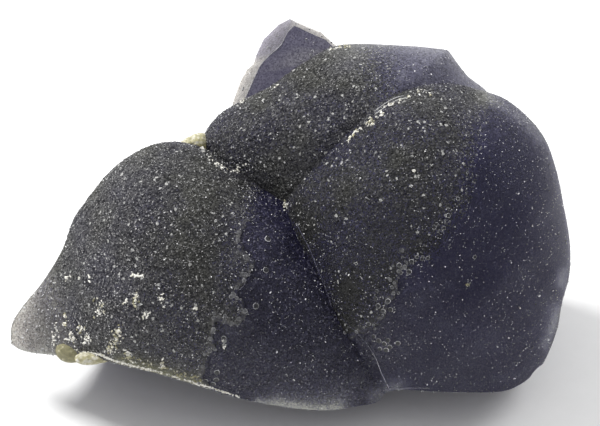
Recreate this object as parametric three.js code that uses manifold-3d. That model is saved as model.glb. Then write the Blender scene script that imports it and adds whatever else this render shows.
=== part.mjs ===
// A hand specimen of botryoidal fluorite: three lumps of radiating, dark violet fluorite grown
// together, with a flat splinter standing up behind them. A thin crust of drusy quartz covers part of
// the left and right lumps and ends in a scalloped ledge, with loose drops beyond it. Crumbs of
// yellowish matrix lie in a notch, on the ridge of the right lump and on the left lump's tail. The
// back and the base are broken faces. It grew as one piece, so it is one solid. Millimetres, +Z up,
// seen from -Y.
import * as THREE from "three";
import { mergeVertices } from "three/addons/utils/BufferGeometryUtils.js";
import Module from "manifold-3d";

// The lumps bulge out of one growth face, which leans back from the vertical. Every place below is
// given on that face: how far right of its middle, how far behind it, and how far up it.
const FACE_LEAN = THREE.MathUtils.degToRad(40);
const BASE_DROP = 24.6; // from the face's middle down to the flat that the specimen lies on
const WAVE_HEIGHT = 0.3; // soft unevenness of the grown surface
const WAVE_LENGTH = 13;
const LUMP_DETAIL = 9; // how finely the sphere that becomes a lump is divided
const OUTLINE_SAMPLES = 720;

// Outlines are lists of [right, up] points on the growth face, joined by a smooth closed curve. A
// lump bulges towards the viewer, and backwards, from its middle. Towards its tail it gets thinner.
const LEFT_LUMP = {
  outline: [
    [-46.4, -18.6], [-44.8, -15.3], [-41.5, -11.1], [-38.3, -5.8], [-36.3, -0.8], [-34.5, 1.8],
    [-30.8, 6.4], [-26.8, 9.5], [-22.5, 11.2], [-18.4, 11.2], [-13.3, 9.3], [-3.4, 4.3], [6.8, -3.0],
    [15.0, -11.5], [18.0, -23.0], [16.0, -33.0], [3.0, -36.5], [-12.0, -35.0], [-27.0, -31.0],
    [-40.0, -27.5], [-45.5, -24.5], [-46.9, -21.5],
  ],
  middle: [-14, 0, -11],
  stretch: [30, 19],
  tilt: 0.25,
  bulge: 15.5,
  back: 26,
  domePower: 0.72,
  tail: { tip: -47, root: -24, front: 0.5, back: 0.03 },
};
const RIGHT_LUMP = {
  outline: [
    [30.2, 19.5], [33.2, 18.3], [36.8, 15.4], [39.4, 12.1], [41.2, 7.3], [42.4, 1.7], [43.5, -5.0],
    [43.4, -10.0], [42.2, -14.6], [41.5, -18.5], [40.0, -22.6], [37.6, -27.0], [33.0, -32.0],
    [24.0, -33.5], [14.0, -31.5], [5.5, -25.0], [-1.0, -14.0], [-3.4, -5.5], [-3.0, 2.2], [0.8, 8.8],
    [5.9, 14.5], [10.9, 18.7], [16.6, 20.8], [23.6, 20.9],
  ],
  middle: [17, 0, 0],
  stretch: [25, 25],
  tilt: 0,
  bulge: 18,
  back: 32,
  domePower: 0.62,
};
const TOP_LUMP = {
  outline: [
    [-15.8, 11.4], [-15.2, 13.5], [-12.8, 16.2], [-9.7, 18.1], [-4.8, 20.6], [0.0, 24.1], [4.8, 27.0],
    [8.0, 27.6], [16.0, 27.5], [23.3, 26.9], [25.2, 25.6], [27.4, 22.4], [30.7, 19.6], [33.5, 12.0],
    [26.0, -2.7], [8.0, -8.0], [-4.8, -3.3], [-13.9, 5.3],
  ],
  middle: [7, 3.5, 12],
  stretch: [24, 16],
  tilt: 0.1,
  bulge: 12,
  back: 24,
  domePower: 0.7,
};

// The fluorite that the lumps grew on, behind them and out of sight from in front.
const GROUND_MASS = {
  outline: [
    [-31, -17.5], [-27.5, 1.0], [-17.5, 7.2], [-12.5, 10.8], [-5, 15.5], [4, 21.5], [20, 23.0],
    [28, 16.5], [37.0, 6.5], [39.2, -8.0], [37.0, -20.0], [33, -33.0], [0, -36], [-22, -30],
  ],
  middle: [4, 2.5, -6],
  stretch: [30, 24],
  tilt: 0,
  bulge: 2,
  back: 34,
  domePower: 0.45,
};

// The rim where the lumps are broken off below, from the tail to the right lump's corner, as seen
// from the viewing distance. The break rises a little with each millimetre behind the rim.
const RIM = [
  [-52.0, -20.3], [-46.3, -21.4], [-45.4, -22.4], [-43.6, -23.0], [-38.7, -23.0], [-30.8, -22.9],
  [-27.4, -23.8], [-24.2, -24.9], [-19.4, -26.5], [-15.5, -27.6], [-11.6, -29.0], [-8.0, -30.0],
  [-4.8, -30.8], [0.0, -31.4], [4.8, -31.4], [9.7, -31.1], [12.6, -30.5], [14.3, -28.8], [24.2, -28.9],
  [32.3, -28.8], [34.9, -28.1], [36.8, -27.2], [38.6, -25.4], [52.0, -25.0],
];
const RIM_RISE = 0.2;
const RIM_DEPTH = -6; // where the rim lies, by the middle of the specimen
const RIM_DEPTHS = [-30, 40];
const CUT_DEPTH = 45; // below the rim

// The splinter behind the top lump: a slab between two outlines, the nearer one smaller. Its foot is
// grown into the ground mass.
const SPLINTER = {
  near: [
    [-9.5, 5.0], [6.0, 5.0], [5.8, 27.0], [4.5, 28.5], [2.1, 29.8], [-1.4, 31.0], [-3.7, 28.3],
    [-5.8, 25.8], [-7.5, 22.9], [-8.9, 19.6],
  ],
  far: [
    [-12.0, 5.0], [8.0, 5.0], [6.6, 27.6], [4.0, 29.6], [2.2, 30.6], [-1.7, 32.8], [-4.9, 30.6],
    [-7.5, 26.8], [-9.4, 23.4], [-11.4, 18.4],
  ],
  nearDepth: 5.5,
  farDepth: 11,
};

// Broken faces: a point of each one, which way it faces, how rough it is, and the seed of its facets.
const BROKEN_FACES = [
  { at: [-16, 10, 8.4], facing: [-0.52, 0.84, 0.5], rough: 0.9, seed: 3 },
  { at: [20, 13.8, 11.6], facing: [0.22, 0.9, 0.49], rough: 1.1, seed: 11 },
];
const BROKEN_STEP = 4; // size of the facets of a broken face
const BROKEN_BLOCK = 120; // wider than the specimen

// The quartz crust, and the ledge where it ends on a lump, from the top down. The rest of the crust's
// outline lies off the lump. What is seen of a ledge is given as from this distance.
const VIEW_DISTANCE = 269;
const CRUST_THICKNESS = 0.55;
const CRUST_DEPTHS = [-40, 10];
const SCALLOP = 1.35; // width of the rounded lobes that a ledge is made of
const LEFT_CRUST = {
  ledge: [
    [-5.5, 9.0], [-7.6, 5.0], [-9.1, 2.1], [-8.7, -0.7], [-9.8, -3.2], [-10.0, -6.0], [-8.7, -7.1],
    [-7.6, -8.9], [-8.7, -9.9], [-9.8, -11.7], [-10.8, -13.1], [-9.6, -14.5], [-9.1, -16.0],
    [-10.0, -17.9], [-12.1, -17.4], [-13.9, -16.5], [-14.0, -18.1], [-14.4, -20.2], [-14.0, -22.0],
    [-15.1, -23.1], [-15.3, -24.5], [-16.0, -25.9], [-15.2, -29.5],
  ],
  beyond: [[-16, -36], [-54, -36], [-54, 20], [-6, 20]],
};
const RIGHT_CRUST = {
  ledge: [
    [29.9, 17.4], [27.7, 12.9], [26.3, 6.5], [25.6, 2.5], [23.6, -1.1], [22.3, -4.7], [20.5, -7.0],
    [18.6, -7.2], [17.1, -8.4], [15.3, -9.7], [15.5, -12.0], [13.7, -14.7], [13.2, -16.5],
    [11.4, -18.3], [7.0, -19.5],
  ],
  beyond: [[-14, -20], [-14, 32], [34, 32]],
};

// Drops of quartz beyond the ledges and on the top lump: [right, up, radius].
const DROPS = [
  [-7.1, -15.0, 0.5], [-5.2, -4.4, 0.45], [-12.3, -20.6, 0.45], [-12.2, -21.5, 0.5],
  [-14.3, -24.4, 0.45], [-13.4, -25.8, 0.5], [-13.5, -26.8, 0.5], [12.2, -20.6, 0.55],
  [13.3, -21.2, 0.6], [14.3, -20.7, 0.5], [14.1, -21.9, 0.6], [15.2, -21.5, 0.5], [27.1, -11.6, 0.6],
  [16.3, 23.5, 0.55], [16.1, 21.8, 0.7], [22.1, 24.3, 0.5],
];
const DROP_FLATNESS = 0.6;

// Crumbs of matrix: [right, up, size].
const CRUMBS = [
  [7.8, 11.9, 0.9], [8.6, 12.8, 0.8], [10.0, 13.9, 0.8], [11.0, 14.8, 1.1], [12.4, 15.9, 0.8],
  [13.9, 16.8, 0.7], [15.3, 18.0, 0.8], [17.3, 19.2, 0.9], [19.0, 19.7, 0.7], [20.6, 20.0, 0.6],
  [-26.7, -14.0, 0.9], [-33.3, -15.5, 0.9], [-37.8, -16.0, 0.6], [-37.8, -17.4, 0.7],
  [-35.0, -19.6, 0.8], [-36.8, -20.0, 0.7], [-29.5, -19.0, 0.8], [-29.4, -20.2, 0.9],
  [-29.8, -21.6, 1.0], [-28.2, -22.7, 1.1], [-25.2, -16.4, 0.7], [-22.8, -21.5, 0.6],
];
// Larger remains of matrix: in the notch between two lumps, and under the left lump's tail.
const MATRIX = [
  { middle: [-16.7, 3.0, 11.2], size: [2.7, 3.2, 2.0] },
  { middle: [-37.0, -0.8, -21.5], size: [2.5, 1.8, 1.9] },
  { middle: [-33.0, 0.2, -22.9], size: [3.4, 1.8, 1.2] },
];

const wasm = await Module();
wasm.setup();

// Smooth low hills, the same at the same point on every lump.
function wave(p) {
  const a = p.clone().multiplyScalar((2 * Math.PI) / WAVE_LENGTH);
  const broad = Math.sin(0.71 * a.x + 0.43 * a.y + 1.3) * Math.sin(0.62 * a.z - 0.31 * a.x + 0.4);
  const short = Math.sin(1.37 * a.z + 0.82 * a.y + 2.1) * Math.sin(1.21 * a.x - 0.53 * a.z);
  return WAVE_HEIGHT * (broad + 0.5 * short);
}

// A number from -0.5 to 0.5 that looks random and is always the same for the same n.
function scatter(n) {
  const x = Math.sin(n * 12.9898 + 4.1414) * 43758.5453;
  return x - Math.floor(x) - 0.5;
}

// The same surface with its points alone, and each point once.
function welded(geometry) {
  const bare = new THREE.BufferGeometry().setAttribute("position", geometry.getAttribute("position"));
  if (geometry.index) bare.setIndex(geometry.index);
  return mergeVertices(bare, 1e-2);
}

function toSolid(closed) {
  return new wasm.Manifold(
    new wasm.Mesh({
      numProp: 3,
      vertProperties: new Float32Array(closed.attributes.position.array),
      triVerts: new Uint32Array(closed.index.array),
    }),
  );
}

function toGeometry(solid) {
  const mesh = solid.getMesh();
  return new THREE.BufferGeometry()
    .setAttribute("position", new THREE.BufferAttribute(new Float32Array(mesh.vertProperties), 3))
    .setIndex(new THREE.BufferAttribute(new Uint32Array(mesh.triVerts), 1));
}

// A curve through [right, up] points on the growth face.
function curveThrough(outline, closed = false) {
  const points = outline.map(([x, z]) => new THREE.Vector3(x, 0, z));
  return new THREE.CatmullRomCurve3(points, closed, "centripetal");
}

// How far a closed outline lies from a middle in each direction, as a function of the angle.
function reachOf(outline, middle) {
  const samples = curveThrough(outline, true).getSpacedPoints(OUTLINE_SAMPLES).slice(1).map((p) => ({
    angle: Math.atan2(p.z - middle[2], p.x - middle[0]),
    reach: Math.hypot(p.x - middle[0], p.z - middle[2]),
  }));
  samples.sort((a, b) => a.angle - b.angle);
  const turn = (x) => (x + 2 * Math.PI) % (2 * Math.PI);
  return (angle) => {
    const after = Math.max(samples.findIndex((s) => s.angle > angle), 0);
    const b = samples[after];
    const a = samples[(after + samples.length - 1) % samples.length];
    const share = turn(angle - a.angle) / Math.max(turn(b.angle - a.angle), 1e-9);
    return a.reach + (b.reach - a.reach) * Math.min(share, 1);
  };
}

// How far a lump's front and back lie from its middle plane, at a share of the way to its outline.
function domes({ bulge, back, domePower, tail }, x, share) {
  const height = Math.pow(Math.max(1 - share * share, 0), domePower);
  const body = tail ? THREE.MathUtils.smoothstep(x, tail.tip, tail.root) : 1;
  return {
    height,
    front: height * bulge * (tail ? THREE.MathUtils.lerp(tail.front, 1, body) : 1),
    back: height * back * (tail ? THREE.MathUtils.lerp(tail.back, 1, body) : 1),
  };
}

// A lump: a sphere drawn out to its outline, with one dome towards the viewer and one behind. The
// front may lie a crust's thickness nearer.
function lump(form, crust = 0) {
  const { outline, middle, stretch, tilt } = form;
  const reach = reachOf(outline, middle);
  const geometry = welded(new THREE.IcosahedronGeometry(1, LUMP_DETAIL));
  const position = geometry.getAttribute("position");
  const p = new THREE.Vector3();
  for (let i = 0; i < position.count; i++) {
    p.fromBufferAttribute(position, i).normalize();
    const share = Math.min(Math.hypot(p.x, p.z), 1);
    const flat = new THREE.Vector2(p.x * stretch[0], p.z * stretch[1]);
    flat.rotateAround(new THREE.Vector2(), tilt);
    const angle = Math.atan2(flat.y, flat.x);
    const across = share * reach(angle);
    const q = new THREE.Vector3(middle[0] + across * Math.cos(angle), middle[1], 0);
    q.z = middle[2] + across * Math.sin(angle);
    const { height, front, back } = domes(form, q.x, share);
    const uneven = wave(q) * Math.min(1, 4 * height);
    q.y += p.y < 0 ? -front - uneven - crust * Math.min(1, 4 * height) : back + uneven;
    position.setXYZ(i, q.x, q.y, q.z);
  }
  return toSolid(geometry);
}

// A slab between two outlines of as many points, listed anticlockwise, with flat sides.
function slab({ near, far, nearDepth, farDepth }) {
  const ring = (outline, depth) => outline.map(([x, z]) => new THREE.Vector3(x, depth, z));
  const cap = (outline) => {
    const flat = outline.map(([x, z]) => new THREE.Vector2(x, z));
    return THREE.ShapeUtils.triangulateShape(flat, []);
  };
  const count = near.length;
  const index = cap(near).flat();
  cap(far).forEach(([a, b, c]) => index.push(count + a, count + c, count + b));
  for (let i = 0; i < count; i++) {
    const next = (i + 1) % count;
    index.push(next, i, count + i, next, count + i, count + next);
  }
  const points = [...ring(near, nearDepth), ...ring(far, farDepth)];
  return toSolid(new THREE.BufferGeometry().setFromPoints(points).setIndex(index));
}

// A slab that is seen edge on from the viewing distance, whatever its depth. It can rise backwards.
function seenSlab(outline, nearDepth, farDepth, rise = 0) {
  const at = (depth) => outline.map(([x, z]) => {
    const share = 1 + depth / VIEW_DISTANCE;
    return [x * share, z * share + rise * (depth - RIM_DEPTH)];
  });
  return slab({ near: at(nearDepth), far: at(farDepth), nearDepth, farDepth });
}

// A ledge drawn as a row of round lobes that stand out to the right of the way down it.
function scalloped(ledge) {
  const curve = curveThrough(ledge);
  const stops = curve.getSpacedPoints(Math.round(curve.getLength() / SCALLOP));
  return stops.slice(1).flatMap((b, i) => {
    const a = stops[i];
    const half = b.clone().sub(a).multiplyScalar(0.5);
    const out = new THREE.Vector3(-half.z, 0, half.x);
    const middle = a.clone().add(half);
    return [-1, -0.71, 0, 0.71].map((along) => {
      const p = middle.clone().addScaledVector(half, along);
      p.addScaledVector(out, Math.sqrt(1 - along * along));
      return [p.x, p.z];
    });
  });
}

// What a lump's crust adds: the part of a slightly fuller lump that is seen inside its outline.
function crust(form, { ledge, beyond }) {
  const outline = [...scalloped(ledge), ...beyond].reverse();
  return lump(form, CRUST_THICKNESS).intersect(seenSlab(outline, ...CRUST_DEPTHS));
}

// A ball or a crumb: an icosahedron, its points pushed in or out by the roughness.
function pebble(middle, size, detail, rough = 0, seed = 0) {
  const geometry = welded(new THREE.IcosahedronGeometry(1, detail));
  const position = geometry.getAttribute("position");
  for (let i = 0; i < position.count; i++) {
    const share = 1 + rough * scatter(seed + i);
    position.setXYZ(i, position.getX(i) * share, position.getY(i) * share, position.getZ(i) * share);
  }
  return toSolid(geometry.scale(...size).translate(...middle));
}

// What a broken face takes away: a block behind it, whose front is a field of uneven facets.
function brokenAway({ at, facing, rough, seed }) {
  const steps = BROKEN_BLOCK / BROKEN_STEP;
  const depth = BROKEN_BLOCK / 2;
  const block = welded(new THREE.BoxGeometry(BROKEN_BLOCK, BROKEN_BLOCK, depth, steps, steps, 1));
  const position = block.getAttribute("position");
  for (let i = 0; i < position.count; i++) {
    if (position.getZ(i) > 0) continue;
    const x = position.getX(i) + 0.5 * BROKEN_STEP * scatter(seed + 3 * i);
    const y = position.getY(i) + 0.5 * BROKEN_STEP * scatter(seed + 5 * i);
    const ridges = Math.sin(0.31 * x + 0.17 * y + seed) + 0.6 * Math.sin(0.43 * y - 0.22 * x);
    position.setXYZ(i, x, y, position.getZ(i) + rough * (ridges + scatter(seed + i)));
  }
  const outward = new THREE.Vector3(...facing).normalize();
  const turn = new THREE.Quaternion().setFromUnitVectors(new THREE.Vector3(0, 0, 1), outward);
  block.translate(0, 0, depth / 2).applyQuaternion(turn).translate(...at);
  return toSolid(block);
}

// The point of the lumps' surface that is seen at a place of the face from the viewing distance.
const fronts = [LEFT_LUMP, RIGHT_LUMP, TOP_LUMP].map((form) => {
  const { outline, middle } = form;
  const reach = reachOf(outline, middle);
  return (x, z) => {
    const [dx, dz] = [x - middle[0], z - middle[2]];
    const share = Math.hypot(dx, dz) / reach(Math.atan2(dz, dx));
    return middle[1] - domes(form, x, share).front + (share < 1 ? 0 : Infinity);
  };
});
function onSurface(right, up) {
  let depth = 0;
  let share = 1;
  for (let pass = 0; pass < 6; pass++) {
    depth = Math.min(...fronts.map((front) => front(right * share, up * share)), 2);
    share = 1 + depth / VIEW_DISTANCE;
  }
  return [right * share, depth, up * share];
}

function drop([right, up, radius]) {
  return pebble(onSurface(right, up), [radius, DROP_FLATNESS * radius, radius], 1);
}

function crumb([right, up, size], i) {
  const across = [size, 0.8 * size, (0.95 + 0.5 * scatter(i)) * size];
  return pebble(onSurface(right, up), across, 0, 0.5, 40 * i);
}

// What is broken away below the rim.
function belowRim() {
  const [first, last] = [RIM[0], RIM[RIM.length - 1]];
  const outline = [[first[0], first[1] - CUT_DEPTH], [last[0], last[1] - CUT_DEPTH], ...RIM.toReversed()];
  return seenSlab(outline, ...RIM_DEPTHS, RIM_RISE);
}

// The lumps, broken off below and behind, then what grows on them. The splinter stands clear of the
// break behind.
const whole = [LEFT_LUMP, RIGHT_LUMP, TOP_LUMP, GROUND_MASS].map((form) => lump(form))
  .concat(crust(LEFT_LUMP, LEFT_CRUST), crust(RIGHT_LUMP, RIGHT_CRUST))
  .reduce((all, piece) => all.add(piece));
const lumps = BROKEN_FACES.reduce(
  (all, face) => all.subtract(brokenAway(face)),
  whole.subtract(belowRim()),
);
const grown = [
  slab(SPLINTER),
  ...DROPS.map(drop),
  ...CRUMBS.map(crumb),
  ...MATRIX.map(({ middle, size }, i) => pebble(middle, size, 1, 0.25, 7 * i)),
].reduce((all, piece) => all.add(piece), lumps);

// The face leans back, the base is cut off flat, and the origin goes to the middle of the base.
const leaning = toSolid(toGeometry(grown).rotateX(-FACE_LEAN));
const below = welded(new THREE.BoxGeometry(300, 300, 100).translate(0, 0, -50 - BASE_DROP));
const geometry = toGeometry(leaning.subtract(toSolid(below))).toNonIndexed();
geometry.computeBoundingBox();
const { min, max } = geometry.boundingBox;
const toOrigin = new THREE.Vector3(-(min.x + max.x) / 2, -(min.y + max.y) / 2, -min.z);
geometry.translate(toOrigin.x, toOrigin.y, toOrigin.z);
geometry.computeVertexNormals();

const fluorite = new THREE.Mesh(
  geometry,
  new THREE.MeshStandardMaterial({ color: 0x3a3a48, roughness: 0.45, metalness: 0 }),
);
fluorite.name = "fluorite";
const specimen = new THREE.Group();
specimen.add(fluorite);
specimen.userData.faceMiddle = toOrigin.toArray();

export default specimen;
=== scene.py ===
# A hand specimen of botryoidal fluorite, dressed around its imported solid: the body of dark violet
# fluorite, the drusy quartz crusts on it, beads and drops of quartz, and crumbs of yellowish matrix.
import math

import bmesh
import bpy
import numpy as np
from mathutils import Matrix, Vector
from mathutils.bvhtree import BVHTree
from mathutils.kdtree import KDTree


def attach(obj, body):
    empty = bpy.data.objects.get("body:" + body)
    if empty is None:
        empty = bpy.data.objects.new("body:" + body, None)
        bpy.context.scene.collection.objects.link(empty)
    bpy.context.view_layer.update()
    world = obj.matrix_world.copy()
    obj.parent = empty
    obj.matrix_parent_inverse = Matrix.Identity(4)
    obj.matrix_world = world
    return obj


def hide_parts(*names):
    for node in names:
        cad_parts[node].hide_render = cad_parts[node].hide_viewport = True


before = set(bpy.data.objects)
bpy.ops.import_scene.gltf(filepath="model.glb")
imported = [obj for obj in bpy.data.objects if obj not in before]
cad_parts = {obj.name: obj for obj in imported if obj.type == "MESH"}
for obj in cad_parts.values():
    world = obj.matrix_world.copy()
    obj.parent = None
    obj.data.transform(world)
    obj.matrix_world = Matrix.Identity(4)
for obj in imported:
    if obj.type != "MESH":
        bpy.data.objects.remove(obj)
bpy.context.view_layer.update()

# The growth face. The lumps bulge out of one face that leans back from the vertical, and every place
# on them is given there in millimetres: right of its middle, behind it, and up it. The camera looks
# square at it, as the photograph does.
MM = 0.001
FACE_LEAN = math.radians(40)
FACE_MIDDLE = np.array([1.558, -1.808, 24.6])
VIEW_DISTANCE = 268.8


def to_world(points):
    """Points of the growth face's frame, in millimetres, as points of the model in metres."""
    p = np.asarray(points, dtype=float)
    behind = p[..., 1] * math.cos(FACE_LEAN) + p[..., 2] * math.sin(FACE_LEAN)
    height = -p[..., 1] * math.sin(FACE_LEAN) + p[..., 2] * math.cos(FACE_LEAN)
    return (np.stack([p[..., 0], behind, height], axis=-1) + FACE_MIDDLE) * MM


def to_face(points):
    """Points of the model in metres, as points of the growth face's frame in millimetres."""
    p = np.asarray(points, dtype=float) / MM - FACE_MIDDLE
    behind = p[..., 1] * math.cos(FACE_LEAN) - p[..., 2] * math.sin(FACE_LEAN)
    up = p[..., 1] * math.sin(FACE_LEAN) + p[..., 2] * math.cos(FACE_LEAN)
    return np.stack([p[..., 0], behind, up], axis=-1)


def seen(points):
    """Where points of the model are seen on the growth face from the viewing distance: right and up."""
    p = to_face(points)
    return p[..., [0, 2]] / (1 + p[..., 1:2] / VIEW_DISTANCE)


camera = bpy.data.objects.new("camera", bpy.data.cameras.new("camera"))
camera.data.sensor_width = 36
camera.data.lens = 100
camera.location = to_world([0, -VIEW_DISTANCE, 0])
camera.rotation_euler = (math.pi / 2 - FACE_LEAN, 0, 0)
bpy.context.scene.collection.objects.link(camera)
bpy.context.scene.camera = camera
bpy.context.scene.view_settings.view_transform = "Standard"


# The surroundings: a flat sheet of white paper, two soft lamps above and behind, and a pale room that is
# brighter behind the specimen than on the camera's side.
def linear(hex_colour):
    """An sRGB colour such as "#3a3a48", turned to linear."""
    parts = [int(hex_colour[i:i + 2], 16) / 255 for i in (1, 3, 5)]
    return tuple(c / 12.92 if c <= 0.04045 else ((c + 0.055) / 1.055) ** 2.4 for c in parts) + (1.0,)


def node(tree, kind, sockets=None, **settings):
    """Adds one node with its settings. Each socket gets a value, or a link from another node's output."""
    made = tree.nodes.new(kind)
    for name, value in settings.items():
        setattr(made, name, value)
    for name, value in (sockets or {}).items():
        if isinstance(value, bpy.types.NodeSocket):
            tree.links.new(value, made.inputs[name])
        else:
            made.inputs[name].default_value = value
    return made


def material(name):
    made = bpy.data.materials.new(name)
    made.use_nodes = True
    made.node_tree.nodes.clear()
    return made


FLOOR_DROP = 0.05 * MM
FLOOR_REACH = 1.2
PULP = 1.1 * MM

# Matt white paper, with the faint unevenness of its pulp.
paper = material("white_paper")
tree = paper.node_tree
pulp = node(tree, "ShaderNodeTexNoise", {"Scale": 1 / PULP, "Detail": 2.0})
shades = node(tree, "ShaderNodeMix", {0: pulp.outputs["Fac"], 6: linear("#f2f2f1"), 7: linear("#f7f7f6")},
              data_type="RGBA")
sheet = node(tree, "ShaderNodeBsdfPrincipled", {"Base Color": shades.outputs[2], "Roughness": 0.85})
node(tree, "ShaderNodeOutputMaterial", {"Surface": sheet.outputs[0]})
floor_mesh = bpy.data.meshes.new("floor")
floor_mesh.from_pydata(
    [(x * FLOOR_REACH, y * FLOOR_REACH, -FLOOR_DROP) for x, y in ((-1, -1), (1, -1), (1, 1), (-1, 1))],
    [], [(0, 1, 2, 3)],
)
floor_mesh.materials.append(paper)
floor = bpy.data.objects.new("floor", floor_mesh)
bpy.context.scene.collection.objects.link(floor)

# Soft lamps behind the specimen, to its left and right. They light the paper and what is matt, and the
# room alone gives the stone's gloss.
LAMPS = {
    "key_lamp": {"from": (-0.76, 0.5, 1.0), "size": 0.19, "watts": 3.9},
    "fill_lamp": {"from": (1.3, 0.7, 1.2), "size": 0.3, "watts": 1.35},
}
LAMP_DISTANCE = 0.6
for name, values in LAMPS.items():
    lamp_data = bpy.data.lights.new(name, "AREA")
    lamp_data.size = values["size"]
    lamp_data.energy = values["watts"]
    lamp = bpy.data.objects.new(name, lamp_data)
    lamp.location = Vector(values["from"]).normalized() * LAMP_DISTANCE
    lamp.rotation_euler = (-lamp.location).to_track_quat("-Z", "Y").to_euler()
    lamp.visible_glossy = False
    lamp.visible_transmission = False
    bpy.context.scene.collection.objects.link(lamp)

room = bpy.data.worlds.new("room")
room.use_nodes = True
sky = room.node_tree
sky.nodes.clear()
way = node(sky, "ShaderNodeTexCoord").outputs["Generated"]
across = node(sky, "ShaderNodeSeparateXYZ", {0: way}).outputs["Y"]
brightness = node(sky, "ShaderNodeMapRange", {
    "Value": across, "From Min": -0.9, "From Max": 0.5, "To Min": 0.42, "To Max": 0.8}).outputs[0]
wall = node(sky, "ShaderNodeBackground", {"Color": linear("#fdfdff"), "Strength": brightness})
node(sky, "ShaderNodeOutputWorld", {"Surface": wall.outputs[0]})
bpy.context.scene.world = room


# The fluorite body. Three lumps of radiating fluorite grew into each other on a mass of the same
# stone, with a splinter left standing behind. Below and behind it is broken off. It is dark violet,
# clear enough to glow where it is thin, with a satin skin.
#
# Each lump is given by its outline as it is seen, a middle that all of the outline can be seen from, how its
# grid is stretched and tilted, how far it stands out in front and behind, and how full its dome is.
LEFT_LUMP = {
    "outline": [
        (-46.45, -18.0), (-44.9, -15.3), (-41.5, -11.1), (-38.3, -5.8), (-36.3, -0.8), (-34.5, 1.8),
        (-30.8, 6.4), (-26.8, 9.5), (-22.5, 11.2), (-18.4, 11.2), (-13.3, 9.3), (-3.4, 4.3), (6.8, -3.0),
        (15.0, -11.5), (18.0, -23.0), (16.0, -33.0), (3.0, -36.5), (-12.0, -35.0), (-27.0, -31.0),
        (-40.0, -27.5), (-45.2, -25.0), (-46.5, -21.5),
    ],
    "middle": (-14, 0, -11), "stretch": (30, 19), "tilt": 0.25, "bulge": 15.5, "back": 26,
    "dome_power": 0.72, "tail": {"tip": -47, "root": -24, "front": 0.5, "back": 0.03},
}
RIGHT_LUMP = {
    "outline": [
        (30.2, 19.5), (33.2, 18.3), (36.8, 15.4), (39.4, 12.1), (41.2, 7.3), (42.4, 1.7), (43.5, -5.0),
        (43.4, -10.0), (42.2, -14.6), (41.5, -18.5), (40.0, -22.6), (37.6, -27.0), (33.0, -32.0),
        (24.0, -33.5), (14.0, -31.5), (5.5, -25.0), (-1.0, -14.0), (-3.4, -5.5), (-3.0, 2.2), (0.8, 8.8),
        (5.9, 14.5), (10.9, 18.7), (16.6, 20.8), (23.6, 20.9),
    ],
    "middle": (17, 0, 0), "stretch": (25, 25), "tilt": 0, "bulge": 18, "back": 32,
    "dome_power": 0.62, "tail": None,
}
TOP_LUMP = {
    "outline": [
        (-15.8, 11.4), (-15.2, 13.5), (-12.8, 16.2), (-9.7, 18.1), (-4.8, 20.6), (0.0, 24.1), (4.8, 27.0),
        (8.0, 27.6), (16.0, 27.4), (22.2, 26.9), (24.2, 26.5), (24.7, 25.9), (27.4, 22.4), (30.7, 19.6),
        (33.5, 12.0), (26.0, -2.7), (8.0, -8.0), (-4.8, -3.3), (-13.9, 5.3),
    ],
    "middle": (7, 3.5, 12), "stretch": (24, 16), "tilt": 0.1, "bulge": 12, "back": 24,
    "dome_power": 0.7, "tail": None,
}
GROUND_MASS = {
    "outline": [
        (-31, -17.5), (-27.5, 1.0), (-17.5, 7.2), (-12.5, 10.8), (-5, 15.5), (4, 21.5), (20, 23.0),
        (28, 16.5), (37.0, 6.5), (39.2, -8.0), (37.0, -20.0), (33, -33.0), (0, -36), (-22, -30),
    ],
    "middle": (4, 2.5, -6), "stretch": (30, 24), "tilt": 0, "bulge": 2, "back": 34,
    "dome_power": 0.45, "tail": None,
}
WAVE_HEIGHT = 0.3
WAVE_LENGTH = 13
WAVE_FADE = 4


def smooth_line(points, closed, steps=24):
    """A centripetal Catmull-Rom curve through points of the growth face, as an array of points."""
    p = np.asarray(points, dtype=float)
    p = np.vstack([p[-1], p, p[0], p[1]]) if closed else np.vstack([2 * p[0] - p[1], p, 2 * p[-1] - p[-2]])
    gap = np.maximum(np.linalg.norm(np.diff(p, axis=0), axis=1), 1e-6) ** 0.5
    share = (np.arange(steps) / steps)[:, None]
    parts = []
    for i in range(1, len(p) - 2):
        a, b, c = gap[i - 1], gap[i], gap[i + 1]
        start = ((p[i] - p[i - 1]) / a - (p[i + 1] - p[i - 1]) / (a + b) + (p[i + 1] - p[i]) / b) * b
        end = ((p[i + 1] - p[i]) / b - (p[i + 2] - p[i]) / (b + c) + (p[i + 2] - p[i + 1]) / c) * b
        rise = p[i + 1] - p[i]
        parts.append(p[i] + share * start + share**2 * (3 * rise - 2 * start - end)
                     + share**3 * (start + end - 2 * rise))
    if not closed:
        parts.append(p[-2][None])
    return np.vstack(parts)


def reach_of(form):
    """How far a lump's outline lies from its middle, as a function of the angle."""
    line = smooth_line(form["outline"], True) - np.array([form["middle"][0], form["middle"][2]])
    angle = np.arctan2(line[:, 1], line[:, 0])
    order = np.argsort(angle)
    reach = np.hypot(line[:, 0], line[:, 1])
    return lambda a: np.interp(a, angle[order], reach[order], period=2 * math.pi)


def smoothstep(x, low, high):
    t = np.clip((x - low) / (high - low), 0, 1)
    return t * t * (3 - 2 * t)


def bulges(form, x, share):
    """How far a lump's front and back lie from its middle plane, at a share of the way out."""
    height = np.maximum(1 - share**2, 0) ** form["dome_power"]
    front, back = np.ones_like(x), np.ones_like(x)
    if form["tail"]:
        tail = form["tail"]
        body = smoothstep(x, tail["tip"], tail["root"])
        front = tail["front"] + (1 - tail["front"]) * body
        back = tail["back"] + (1 - tail["back"]) * body
    return height, height * form["bulge"] * front, height * form["back"] * back


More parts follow.
